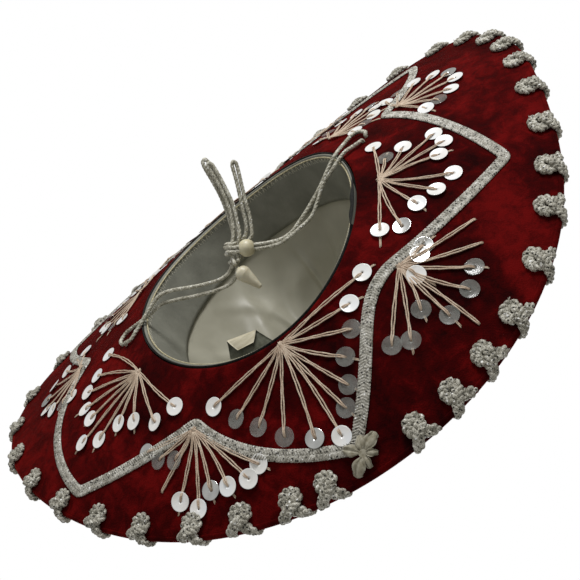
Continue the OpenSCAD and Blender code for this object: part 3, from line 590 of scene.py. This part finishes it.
def dome(name, h0, off0, off1, material, node, fold=None):
    """Shell of the crown from height h0 up, closed at its lower edge."""
    rows = 64
    h = np.sin(np.linspace(math.asin(h0) if h0 > 0 else 0, math.pi / 2 - 0.012, rows))
    soup = Soup()
    t = turn[None, :]
    shift = fold(t, h[:, None]) if fold else 0.0
    outer = crown(t, h[:, None], off1 + shift)
    inner = crown(t, h[:, None], off0 + shift)
    verts = np.vstack([outer.reshape(-1, 3), inner.reshape(-1, 3)])
    faces = grid_faces(rows, AROUND, False, True)
    n = rows * AROUND
    cap = [list(range(n - AROUND, n)), list(range(2 * n - AROUND, 2 * n))[::-1]]
    k = np.arange(AROUND)
    edge = np.stack([k, n + k, n + (k + 1) % AROUND, (k + 1) % AROUND], -1)
    soup.add(verts, [faces, faces[:, ::-1] + n, edge[:, ::-1], *cap])
    return piece(name, soup, material, [node])


dome("crown_pile", 0.0, CROWN_SKIN, CROWN_SKIN + VELVET, VELVET_MAT, "crown_velvet")

# ---------- inside ----------
tape_low, tape_high = -0.6, 9.0
# the band has come away from the tape at one end, and the tape shows as a dark strip
bare_tape = 2.6 * np.exp(-(((turn + 62 + 180) % 360 - 180) / 11.0) ** 4)
ripple = 0.25 * np.sin(np.radians(40 * turn)) * (bare_tape > 0.3)
rise_grid = np.linspace(tape_low, tape_high, 10)
tape_in = edge_wall(turn[:, None], rise_grid[None], (-1.4 - bare_tape + ripple)[:, None])
tape_out = edge_wall(turn[:, None], rise_grid[None, ::-1], (-0.9 - bare_tape * 0.96 + ripple)[:, None])
lip = edge_wall(turn, tape_low - 0.3, -1.1)[:, None]
tape_skin = np.concatenate([tape_in, tape_out, lip], 1)[:, ::-1]
piece("opening_edge_tape", solid(*ring(tape_skin)), TAPE, ["opening_tape"])

SWEAT_H = 32.0
rows = np.linspace(0, 1, 14)
tt = turn[:, None]
top_edge = crown(turn, SWEAT_H / CROWN_H, -1.7)[:, None]
low_edge = edge_wall(turn, 0.0, -1.7)[:, None]
wave = 0.35 * np.sin(np.radians(9 * tt + 40 * rows)) * np.sin(math.pi * rows)
wave = wave + 0.2 * np.sin(np.radians(23 * tt)) * rows
inward = unit(np.stack([-sind(turn), cosd(turn), 0 * turn], -1))[:, None]
outer = low_edge + (top_edge - low_edge) * rows[:, None]
inner = outer + inward * (1.0 + np.maximum(0, wave)[..., None])
band_skin = np.concatenate([outer, inner[:, ::-1]], 1)[:, ::-1]
piece("sweatband_look", solid(*ring(band_skin)), SWEATBAND, ["sweatband"])

stitches = Soup()
for k in range(120):
    for near, far in ((0.0, 0.5), (0.5, 1.0)):
        u = np.linspace(0, 1, 7)
        reach = rng.uniform(4.5, 7.0)
        rise = 1.6 + (reach * u if near == 0 else reach * (1 - u))
        hop = (k + near + (far - near) * u) * 3.0
        path = edge_wall(hop, rise, -3.05 - 0.3 * np.sin(math.pi * u) - 0.012 * rise)
        tan, sv = transport(path, (0, 0.1, 1))
        stitches.add(*bar(path, sv, np.cross(tan, sv), circle(0.24, 5)))
piece("sweatband_stitches", stitches, STITCH, ["sweatband_piping"])
cable = Soup()
hoop = np.arange(900) * 0.4
for k in range(2):
    ph = hoop * 150 * math.pi / 180 + k * math.pi
    path = edge_wall(hoop, 1.2 + 0.24 * np.sin(ph), -3.7 + 0.24 * np.cos(ph))
    ahead = unit(np.roll(path, -1, 0) - np.roll(path, 1, 0))
    sv = unit(np.cross(ahead, (0, 0, 1.0)))
    c = circle(0.3, 6)
    across = c[None, :, :1] * sv[:, None]
    cable.add(*ring(path[:, None] + across + c[None, :, 1:] * np.cross(ahead, sv)[:, None]))
piece("sweatband_cable", cable, PIPING, ["sweatband_piping"])


def lining_fold(t, h):
    """How far the lining stands in from the crown at a place, never outwards."""
    a = np.radians(t)
    w = np.clip((h - 0.29) / 0.3, 0, 1) ** 1.2
    bend = 0.5 * np.sin(2 * a + 4 * h) + 0.3 * np.sin(5 * a - 3 * h)
    crease = (np.maximum(0, np.sin(5 * a + bend * 2.2 + 2.4 * h)) ** 4 * 7
              + np.maximum(0, np.sin(9 * a - bend * 2.6 - 5 * h)) ** 6 * 4
              + np.maximum(0, np.sin(3 * a + 7 * h + bend)) ** 8 * 5)
    long_fold = 9 * np.exp(-((((t + 118 + 180) % 360 - 180) - 20 * (h - 0.5)) / 9.0) ** 2)
    return -w * (0.6 * crease + long_fold + 1.0 + 0.5 * np.sin(17 * a + 8 * h))


side_h = np.linspace(0.1, 0.82, 90)
fold = lining_fold(turn[:, None], side_h[None])
near_skin, far_skin = (crown(turn[:, None], side_h[None], off + fold) for off in (-1.2, -0.6))
skin = np.concatenate([near_skin, far_skin[:, ::-1]], 1)
lining = piece("lining_side_look", solid(*ring(skin)), LINING, ["lining_side"])
tip = dome("lining_tip_look", 0.76, -3.2, -2.6, LINING, "lining_tip",
           fold=lambda t, h: lining_fold(t, h) - 0.4)

# ---------- braid ----------
STAR = [
    [0, 0.81, 0.01], [32, 0.33, -0.03], [57, 0.84, 0.06], [100, 0.38, -0.02],
    [124, 0.8, 0.04], [150, 0.33, -0.02], [180, 0.8, 0.02], [210, 0.33, -0.02],
    [234, 0.78, 0.02], [255, 0.29, -0.05], [299, 0.74, -0.04], [326, 0.26, -0.2]
]
TOP_STAR = [[k * 30, 0.84 if k % 2 == 0 else 0.4, 0.03] for k in range(12)]
BRAID_W, BRAID_T = 6.4, 1.2


def star_line(corners, steps=60):
    line = []
    for k, (t0, s0, bow) in enumerate(corners):
        t1, s1, _ = corners[(k + 1) % len(corners)]
        t1 += 360 if t1 < t0 else 0
        for j in range(steps):
            u = j / steps
            line.append((t0 + (t1 - t0) * u, s0 + (s1 - s0) * u + 4 * bow * u * (1 - u)))
    return np.array(line)


def braid_relief(u, v, width, columns=2, pitch=1.5):
    """Height from 0 to 1 of a flat herringbone braid at u along and v across."""
    w = width / columns
    k = np.clip(np.floor((v + width / 2) / w), 0, columns - 1)
    x = (v + width / 2 - (k + 0.5) * w) / (w / 2)
    lean = np.where(k % 2 == 0, 1.0, -1.0)
    ridge = np.abs(np.cos(math.pi * (u / pitch + lean * x * 0.6))) ** 0.7
    return np.clip(1 - 0.45 * x**4, 0, 1) * (0.1 + 0.9 * ridge) * (1 - 0.5 * np.abs(2 * v / width) ** 6)


def braid_strip(points, normals, width, thick, base):
    """Closed flat braid along points, its relief standing away along normals."""
    ahead = unit(np.roll(points, -1, 0) - np.roll(points, 1, 0))
    side = unit(np.cross(ahead, normals))
    u = lengths(np.vstack([points, points[:1]]))[:-1]
    across = np.linspace(-width / 2, width / 2, 19)
    wobble = 1 + 0.03 * np.sin(u / 9.0)[:, None] + 0.05 * np.sin(u * 2 * math.pi / 1.5)[:, None]
    z = base + thick * (0.15 + 0.9 * braid_relief(u[:, None], across[None], width))
    face = points[:, None] + side[:, None] * (across[None] * wobble)[..., None]
    face = face + normals[:, None] * z[..., None]
    foot = [points + side * width / 2 + normals * base, points - side * width / 2 + normals * base]
    return ring(np.concatenate([face, np.stack(foot, 1)], 1))


def brim_normals(points_ts, sign):
    return sign * upward(points_ts[:, 0], points_ts[:, 1])


def even_steps(both, step):
    """A closed line of points and their normals, spaced evenly."""
    q = np.vstack([both, both[:1]])
    s = lengths(q[:, :3])
    u = np.linspace(0, s[-1], int(s[-1] / step), endpoint=False)
    return np.stack([np.interp(u, s, q[:, k]) for k in range(6)], -1)


def braid_piece(name, q, width, thick, node):
    strip = braid_strip(q[:, :3], unit(q[:, 3:]), width, thick, 0.0)
    return piece(name, solid(*strip), SILVER, [node])


def star_braid(name, corners, base, sign, node):
    ts = star_line(corners)
    pts = brim_at(ts[:, 0], ts[:, 1], np.full(len(ts), base))
    q = even_steps(np.hstack([pts, brim_normals(ts, sign)]), 0.42)
    # corners eased
    for _ in range(40):
        q = (np.roll(q, 1, 0) + 2 * q + np.roll(q, -1, 0)) / 4
    return braid_piece(name, q, BRAID_W, BRAID_T, node)


star_braid("under_star_braid", STAR, -0.35, -1, "under_braid")
star_braid("top_star_braid", TOP_STAR, TOP_OUT + 0.35, 1, "top_braid")
h_ring = 0.62 + 0.05 * cosd(4 * turn)
ring_off = CROWN_SKIN + VELVET + 0.4
ring_pts = np.hstack([crown(turn, h_ring, ring_off), crown_normal(turn, h_ring, ring_off)])
braid_piece("crown_ring_braid", even_steps(ring_pts, 0.42), BRAID_W, BRAID_T, "crown_braid")
h_band, BAND_W, BAND_T = 0.105, 13.4, 1.4
band_pts = np.hstack([crown(turn, h_band, CROWN_SKIN + VELVET + 0.2), crown_normal(turn, h_band, CROWN_SKIN)])
braid_piece("hat_band_braid", even_steps(band_pts, 0.5), BAND_W, BAND_T, "hat_band")

# ---------- fans of thread and sequins ----------
FRONT = [
    [85, 48], [65, 43], [46, 42], [27, 46], [9, 51], [-4, 57], [-15, 48], [-27, 42], [-45, 35], [-68, 37],
    [-88, 40], [-101, 55]
]
LEFT = [
    [72, 54], [55, 50], [42, 52], [28, 50], [14, 44], [1, 54], [-13, 44], [-30, 31], [-55, 31], [-79, 40],
    [-99, 45]
]
RIGHT = [
    [-83, 39], [-67, 21], [-49, 30], [-32, 45], [-18, 43], [-5, 35], [22, 40], [42, 34], [65, 31], [88, 39],
    [105, 38]
]
LEFT_VALLEY = [
    [61, 34], [46, 27], [26, 19], [20, 36.3], [-2.5, 36.2], [-20.5, 39.8], [-34, 32.8], [-50, 36.5],
    [-65.5, 42.7], [-77, 43.5]
]
RIGHT_VALLEY = [
    [-56, 17], [-45.5, 46], [-26, 42.5], [-6, 36.5], [13.5, 37], [31, 50.5], [39, 37],
    [56, 26.5], [71.5, 40.5], [84.5, 42], [-43.5, 12], [22, 10]
]
# sequins of each fan's rays: pearl, clear, mirror, or none
KINDS = {"front": "PCCCMPCCCCPP", "left": "PPPPPPPPPPP", "right": "PCPPPPPPPMP", "left_valley": "MCC-PPMPPP",
         "right_valley": "M--CC-CCCCMP", "even": "PCPPMPPCP"}


def even_rays(share=1.0):
    return [[a, (36 + 8 * math.cos(math.radians(2 * a))) * share] for a in range(-80, 81, 20)]


LOBES = [(2, 0.05, FRONT, "front"), (66, 0.115, LEFT, "left"), (-67, 0.12, RIGHT, "right"),
         (124, 0.13, even_rays(0.9), "even"), (-121, 0.1, even_rays(0.82), "even"),
         (180, 0.05, even_rays(), "even")]
VALLEYS = [(31.5, 0.37, LEFT_VALLEY, "left_valley"), (-33.5, 0.31, RIGHT_VALLEY, "right_valley"),
           (99, 0.42, even_rays(0.85), "even"), (-103, 0.36, even_rays(0.9), "even"),
           (150, 0.38, even_rays(0.9), "even"), (-150, 0.38, even_rays(0.9), "even")]
TOPS = [(k * 60, 0.24, even_rays(), "even") for k in range(6)]
SEQUIN_R = 5.0


def sequin_shape():
    """A thin cupped disc with a small hole, its cup opening along +Z."""
    sides, thick = 36, 0.16
    radii = np.array([0.55, 1.6, 3.4, 4.7, SEQUIN_R])
    a = np.arange(sides) * 2 * math.pi / sides
    rim = lambda r, z: np.stack([r * np.cos(a), r * np.sin(a), np.full(sides, z)], -1)
    cup = lambda r: 0.45 * (r / SEQUIN_R) ** 2
    upper = [rim(r, cup(r) + thick) for r in radii]
    lower = [rim(r, cup(r)) for r in radii[::-1]]
    rows = np.stack(upper + lower, 1)
    return ring(rows)


SEQUIN = sequin_shape()
SEQUIN_SOUPS = {}


def put_sequin(group, kind, at, x, y, z):
    tilt = rng.normal(0, 0.07, 2)
    z = unit(z + tilt[0] * x + tilt[1] * y)
    x = unit(x - (x @ z) * z)
    y = np.cross(z, x)
    verts = at + SEQUIN[0] @ np.stack([x, y, z])
    SEQUIN_SOUPS.setdefault((group, kind), Soup()).add(verts, SEQUIN[1])


def strand_bar(soup, t, s, off, sign, radius):
    """One thin thread over the brim through places (t, s)."""
    path = brim_at(t, s, off)
    ahead = unit(np.gradient(path, axis=0))
    across = unit(np.cross(ahead, sign * upward(t, s)))
    soup.add(*bar(path, across, np.cross(across, ahead), circle(radius, 7)))


def brim_fans(group, fans, side):
    """Threads as one soup; the sequins go into their groups' soups."""
    soup = Soup()
    sign = -1 if side == 0 else 1
    base = 0.0 if side == 0 else TOP_OUT
    for t0, s0, rays, kinds in fans:
        for k, (angle, reach) in enumerate(rays):
            kind = KINDS[kinds][k]
            bow = rng.normal(0, 1.0)
            phase = rng.uniform(0, 6.3)
            for strand in (-1, 1):
                start, stop = 0.6 + rng.uniform(0, 1.0), reach + (0.0 if kind == "-" else 0.4)
                d = np.linspace(start, stop, max(12, int(reach / 0.9)))
                w = d / reach
                swell = np.sin(math.pi * np.clip(w, 0, 1)) ** 0.7
                apart = 0.33 + 0.38 * swell * np.abs(np.sin(0.11 * d + phase))
                shift = strand * apart + bow * np.sin(math.pi * w) + 0.08 * np.sin(0.8 * d + phase + strand)
                if kind != "-":
                    shift = shift - strand * 0.12 * np.exp(-((d - reach) / 2.0) ** 2)
                t, s = walk(t0, s0, angle, d, shift)
                lift = 0.65 + 0.5 * np.sin(math.pi * np.clip(w, 0, 1)) + 1.3 * np.exp(-((d - 1.2) / 5.5) ** 2)
                if kind != "-":
                    lift = lift + 0.9 * np.exp(-((d - reach + 2.6) / 2.2) ** 2)
                    lift = lift - 0.9 * np.clip((d - reach + 0.7) / 1.1, 0, 1)
                else:
                    lift = lift - 0.6 * np.clip((d - reach + 1.2) / 1.2, 0, 1)
                strand_bar(soup, t, s, base + sign * lift, sign, 0.39)
            if kind != "-":
                t, s = walk(t0, s0, angle, [reach])
                z = sign * upward(t, s)[0]
                x = outward(t, s)[0]
                put_sequin(group, kind, brim_at(t, s, np.array([base + sign * (0.5 + (k % 3) * 0.3)]))[0],
                           x, np.cross(z, x), z)
                tail = rng.choice([0.0, 6.8, 8.0, 11.0], p=[0.45, 0.3, 0.17, 0.08])
                if tail:
                    for strand in (-1, 1):
                        d = reach + np.linspace(3.6, tail + strand * 0.3, 8)
                        t, s = walk(t0, s0, angle, d, 0.3 * strand)
                        lift = 0.45 - 0.4 * np.clip((d - reach - tail + 1.5) / 1.5, 0, 1)
                        strand_bar(soup, t, s, base + sign * lift, sign, 0.3)
        # the pinched stitches at the fan's root
        for _ in range(8):
            a = rng.uniform(0, 360)
            t, s = walk(t0, s0, a, np.linspace(-1.7, 1.7, 8), rng.uniform(-0.6, 0.6))
            lift = 1.7 + 0.5 * np.sin(np.linspace(0, math.pi, 8)) + rng.uniform(0, 0.4)
            strand_bar(soup, t, s, base + sign * lift, sign, 0.33)
    return soup


piece("under_lobe_floss", brim_fans("under_lobe", LOBES, 0), THREAD, ["under_lobe_threads"])
piece("under_valley_floss", brim_fans("under_valley", VALLEYS, 0), THREAD, ["under_valley_threads"])
piece("top_lobe_floss", brim_fans("top_lobe", TOPS, 1), THREAD, ["top_lobe_threads"])

crown_soup = Soup()
for k in range(4):
    for a in range(-60, 61, 30):
        for strand in (-1, 1):
            d = np.linspace(1, 23.5, 20)
            tc = k * 90 + d * sind(a) * 0.6 + strand * 0.28 * np.sin(math.pi * d / 24)
            hc = 0.3 + d * cosd(a) / CROWN_H
            path = crown(tc, hc, CROWN_SKIN + VELVET + 0.7 + 1.0 * np.exp(-((d - 22) / 2.5) ** 2))
            up = crown_normal(tc, hc, CROWN_SKIN)
            ahead = unit(np.gradient(path, axis=0))
            across = unit(np.cross(ahead, up))
            crown_soup.add(*bar(path, across, np.cross(across, ahead), circle(0.34, 7)))
        tc, hc = k * 90 + 24 * sind(a) * 0.6, 0.3 + 24 * cosd(a) / CROWN_H
        z = crown_normal(tc, hc, CROWN_SKIN + VELVET)
        x = unit(crown(tc, hc + 0.01, 3) - crown(tc, hc - 0.01, 3))
        put_sequin("crown", "P", crown(tc, hc, CROWN_SKIN + VELVET + 0.9), x * 0.8, np.cross(z, x), z)
piece("crown_floss", crown_soup, THREAD, ["crown_threads"])

stands = {"under_lobe": "under_lobe_sequins", "under_valley": "under_valley_sequins",
          "top_lobe": "top_lobe_sequins", "crown": "crown_sequins"}
looks = {"P": ("pearl", PEARL), "C": ("clear", CLEAR), "M": ("mirror", MIRROR)}
for (group, kind), soup in SEQUIN_SOUPS.items():
    word, mat = looks[kind]
    piece(f"{group}_sequins_{word}", soup, mat, [stands[group]])

# ---------- scrolls of braided cord round the rim ----------
SCROLL_ANGLES = [
    -107, -99, -90, -79, -67, -56, -47, -37, -28, -21, -14.5, -8, 6, 11.5, 19.5, 28, 38, 48.5, 60, 73, 87,
    100, 112, 124, 136, 147, 158, 169, 180, 191, 202, 213, 224, 235, 244
]
SCROLL_EDGE = 7.6

# A running loop of plaited cord. Each point is across, outwards and away from the brim, and then the
# way that the plait's flat side faces.
LOOP = [
    [6.6, 4.9, -5.4, 0, 0, -1], [6.5, 6.4, -4.6, 0, 0.7, -0.7], [6.4, 7.3, -2.2, 0, 1, 0],
    [5.9, 7.0, 0.2, 0, 0.7, 0.7], [4.9, 6.2, 1.4, 0, 0.15, 1], [3.3, 5.0, 2.4, 0, 0, 1],
    [1.0, 3.4, 3.4, 0, 0, 1], [-1.6, 1.7, 3.0, 0, 0, 1], [-3.5, -0.2, 1.9, 0, 0, 1],
    [-3.1, -2.8, 1.6, 0, 0, 1], [-0.4, -4.1, 1.6, 0, 0, 1], [2.7, -2.9, 1.6, 0, 0, 1],
    [3.7, -0.2, 1.5, 0, 0, 1], [2.5, 2.3, 1.2, 0, 0, 1], [0.1, 4.1, 1.1, 0, 0, 1],
    [-2.4, 5.5, 1.1, 0, 0, 1], [-4.4, 6.6, 0.9, 0, 0.4, 0.9], [-5.5, 7.3, -1.6, 0, 1, 0],
    [-6.0, 6.6, -4.5, 0, 0.7, -0.7], [-6.2, 4.8, -5.4, 0, 0, -1]
]


def plait(path, up, width=3.1, pitch=7.0, sides=8):
    """Three strands plaited flat along a path, width being half of the plait's."""
    u = lengths(path)
    ahead = unit(np.gradient(path, axis=0))
    side = unit(np.cross(ahead, up))
    lift = np.cross(side, ahead)
    out = []
    for k in range(3):
        ph = 2 * math.pi * (u / pitch + k / 3)
        p = path + side * (width * 0.62 * np.sin(ph))[:, None]
        p = p + lift * (width * 0.2 * np.sin(2 * ph))[:, None]
        tan, sv = transport(p, side[0])
        out.append(bar(p, sv, np.cross(tan, sv), circle(width * 0.35, sides)))
    return out


scrolls = Soup()
for t0 in SCROLL_ANGLES:
    s0 = 1 - SCROLL_EDGE / float(brim_width(t0))
    o, z = outward(t0, s0), -upward(t0, s0)
    x = np.cross(o, z)
    at = brim_at(t0, s0, np.array(0.0))
    loop = np.array(LOOP, float)
    loop[:, 0] *= 1 + rng.normal(0, 0.05)
    loop[4:17, 1] += rng.normal(-0.1, 0.2)
    loop[5:14, :2] += rng.normal(0, 0.15, (9, 2))
    both = smooth_path(loop, 0.5, 2)
    axes = np.stack([x, o, z])
    pts, ups = at + both[:, :3] @ axes, unit(both[:, 3:] @ axes)
    for strand in plait(pts, ups):
        scrolls.add(*strand)
    # the frayed end of the sewing thread
    for _ in range(3):
        d = np.linspace(0, 1, 5)[:, None]
        start = np.array([-2.6, -2.6, 2.4]) + rng.normal(0, 0.2, 3)
        stop = start + np.array([-2.6, -1.2, 0.4]) + rng.normal(0, 0.5, 3)
        path = at + (start + (stop - start) * d) @ axes
        tan, sv = transport(path, z)
        scrolls.add(*bar(path, sv, np.cross(tan, sv), circle(0.22, 6)))
piece("rim_scroll_braid", scrolls, SCROLL, ["rim_scrolls"])

# ---------- bow ----------
# Each petal's direction in degrees, and its length
PETALS = [(38, 11.5), (82, 7.5), (150, 7), (205, 11.5), (248, 9), (312, 10.5)]
bow = Soup()
t0, s0 = -0.5, 0.865
o, z = outward(t0, s0), -upward(t0, s0)
x = np.cross(o, z)
at = brim_at(t0, s0, np.array(-1.6))
for k, (a, size) in enumerate(PETALS):
    r, w = np.meshgrid(np.linspace(0, 1, 16), np.linspace(-1, 1, 15), indexing="ij")
    spread = 0.62 * np.sin(math.pi * np.clip(r, 0.04, 0.92)) ** 0.6
    ang = math.radians(a) + w * spread * 0.9
    rad = size * r * (1 - 0.12 * w**2)
    height = 0.4 + 2.2 * np.sin(math.pi * r) ** 0.8 + 0.7 * np.sin(6 * w + k) * r
    height = height + 0.35 * np.cos(11 * w + 2 * k) * r
    topface = at + (rad * np.cos(ang))[..., None] * x + (rad * np.sin(ang))[..., None] * o
    topface = topface + height[..., None] * z
    botface = topface - 0.25 * z
    n, m_ = r.shape
    verts = np.vstack([topface.reshape(-1, 3), botface.reshape(-1, 3)])
    f = grid_faces(n, m_)
    bow.add(verts, [f, f[:, ::-1] + n * m_] + patch_walls(n, m_))
piece("front_bow_petals", bow, RIBBON, ["front_bow"])

# ---------- label ----------
# The strip's left and right edge points, from the wall over the fold to the flap's end
LABEL_LEFT = [
    [32.6, -82.2, 12.9], [30.6, -78.9, 9.8], [28.9, -76.2, 7.2], [28.2, -75.1, 5.7],
    [27.7, -75.4, 4.6], [27.3, -76.9, 4.6], [26.6, -79.0, 6.6], [25.4, -81.8, 9.6]
]
LABEL_RIGHT = [
    [5.2, -88.2, 19.5], [8.3, -83.4, 16.1], [10.9, -78.5, 12.3], [11.9, -76.6, 10.6],
    [12.1, -76.8, 9.4], [12.3, -78.1, 9.3], [13.9, -80.2, 10.2], [16.2, -82.4, 11.4]
]
both = smooth_path(np.hstack([LABEL_LEFT, LABEL_RIGHT]), 0.7, 1)
w = np.linspace(0, 1, 14)[None, :, None]
face = both[:, None, :3] * (1 - w) + both[:, None, 3:] * w
curl = 0.25 * np.sin(7 * w) * np.sin(np.linspace(0, 6, len(both)))[:, None, None]
face = face + curl * np.array([0.2, 0.87, 0.45])
du, dv = np.gradient(face, axis=0), np.gradient(face, axis=1)
norm = unit(np.cross(du, dv))


def strip_side(name, near, far, material):
    """One layer of the label between two offsets from its middle."""
    n, k = face.shape[:2]
    v = np.vstack([(face + near * norm).reshape(-1, 3), (face + far * norm).reshape(-1, 3)])
    f = grid_faces(n, k)
    soup = solid(v, [f[:, ::-1], f + n * k] + patch_walls(n, k))
    return piece(name, soup, material, ["label_tab"])


label = strip_side("label_front", 0.02, 0.22, LABEL)
label_back = strip_side("label_reverse", -0.22, -0.02, LABEL_BACK)

# ---------- carried-over CAD nodes ----------
CARRIED = {
    "crown_side_board": BOARD, "crown_tip_board": BOARD, "brim_board": BOARD, "rim_wire": WIRE,
    "front_bow_button": RIBBON, "slider_bead": BEAD, "toggle": HORN
}
for name, mat in CARRIED.items():
    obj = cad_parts[name]
    obj.data.materials.clear()
    obj.data.materials.append(mat)
    if name in ("rim_wire", "slider_bead", "toggle"):
        obj.data.polygons.foreach_set("use_smooth", [True] * len(obj.data.polygons))

# ---------- floor, light and backdrop ----------
FLOOR_Z = -1.6
floor = bpy.data.objects.new("floor", bpy.data.meshes.new("floor"))
corners = [(-6, -6, FLOOR_Z), (6, -6, FLOOR_Z), (6, 6, FLOOR_Z), (-6, 6, FLOOR_Z)]
floor.data.from_pydata(corners, [], [(0, 1, 2, 3)])
pale = bpy.data.materials.new("pale_floor")
pale.use_nodes = True
pale.node_tree.nodes["Principled BSDF"].inputs["Base Color"].default_value = (0.8, 0.8, 0.8, 1)
pale.node_tree.nodes["Principled BSDF"].inputs["Roughness"].default_value = 0.9
floor.data.materials.append(pale)
bpy.context.scene.collection.objects.link(floor)

world = bpy.data.worlds.new("studio")
world.use_nodes = True
nodes, links = world.node_tree.nodes, world.node_tree.links
# the backdrop is white to the camera, and gives less light than that
soft = nodes["Background"]
white = nodes.new("ShaderNodeBackground")
pick = nodes.new("ShaderNodeMixShader")
ray = nodes.new("ShaderNodeLightPath")
soft.inputs[0].default_value, soft.inputs[1].default_value = (1.0, 0.99, 0.95, 1), 0.37
white.inputs[0].default_value, white.inputs[1].default_value = (1, 1, 1, 1), 1.0
links.new(ray.outputs["Is Camera Ray"], pick.inputs[0])
links.new(soft.outputs[0], pick.inputs[1])
links.new(white.outputs[0], pick.inputs[2])
links.new(pick.outputs[0], nodes["World Output"].inputs[0])
bpy.context.scene.world = world
bpy.context.scene.view_settings.view_transform = "Standard"


def area_light(name, place, aim, size, power):
    data = bpy.data.lights.new(name, "AREA")
    data.shape, data.size, data.energy = "DISK", size, power
    obj = bpy.data.objects.new(name, data)
    obj.location = place
    obj.rotation_mode = "QUATERNION"
    obj.rotation_quaternion = (Vector(aim) - Vector(place)).to_track_quat("-Z", "Y")
    bpy.context.scene.collection.objects.link(obj)


area_light("key", TARGET - right * 0.15 + top * 1.05 + back * 0.25, TARGET, 0.45, 9)
area_light("above", Vector((0.6, 0.8, 1.6)), Vector((0, 0, 0.05)), 1.2, 20)
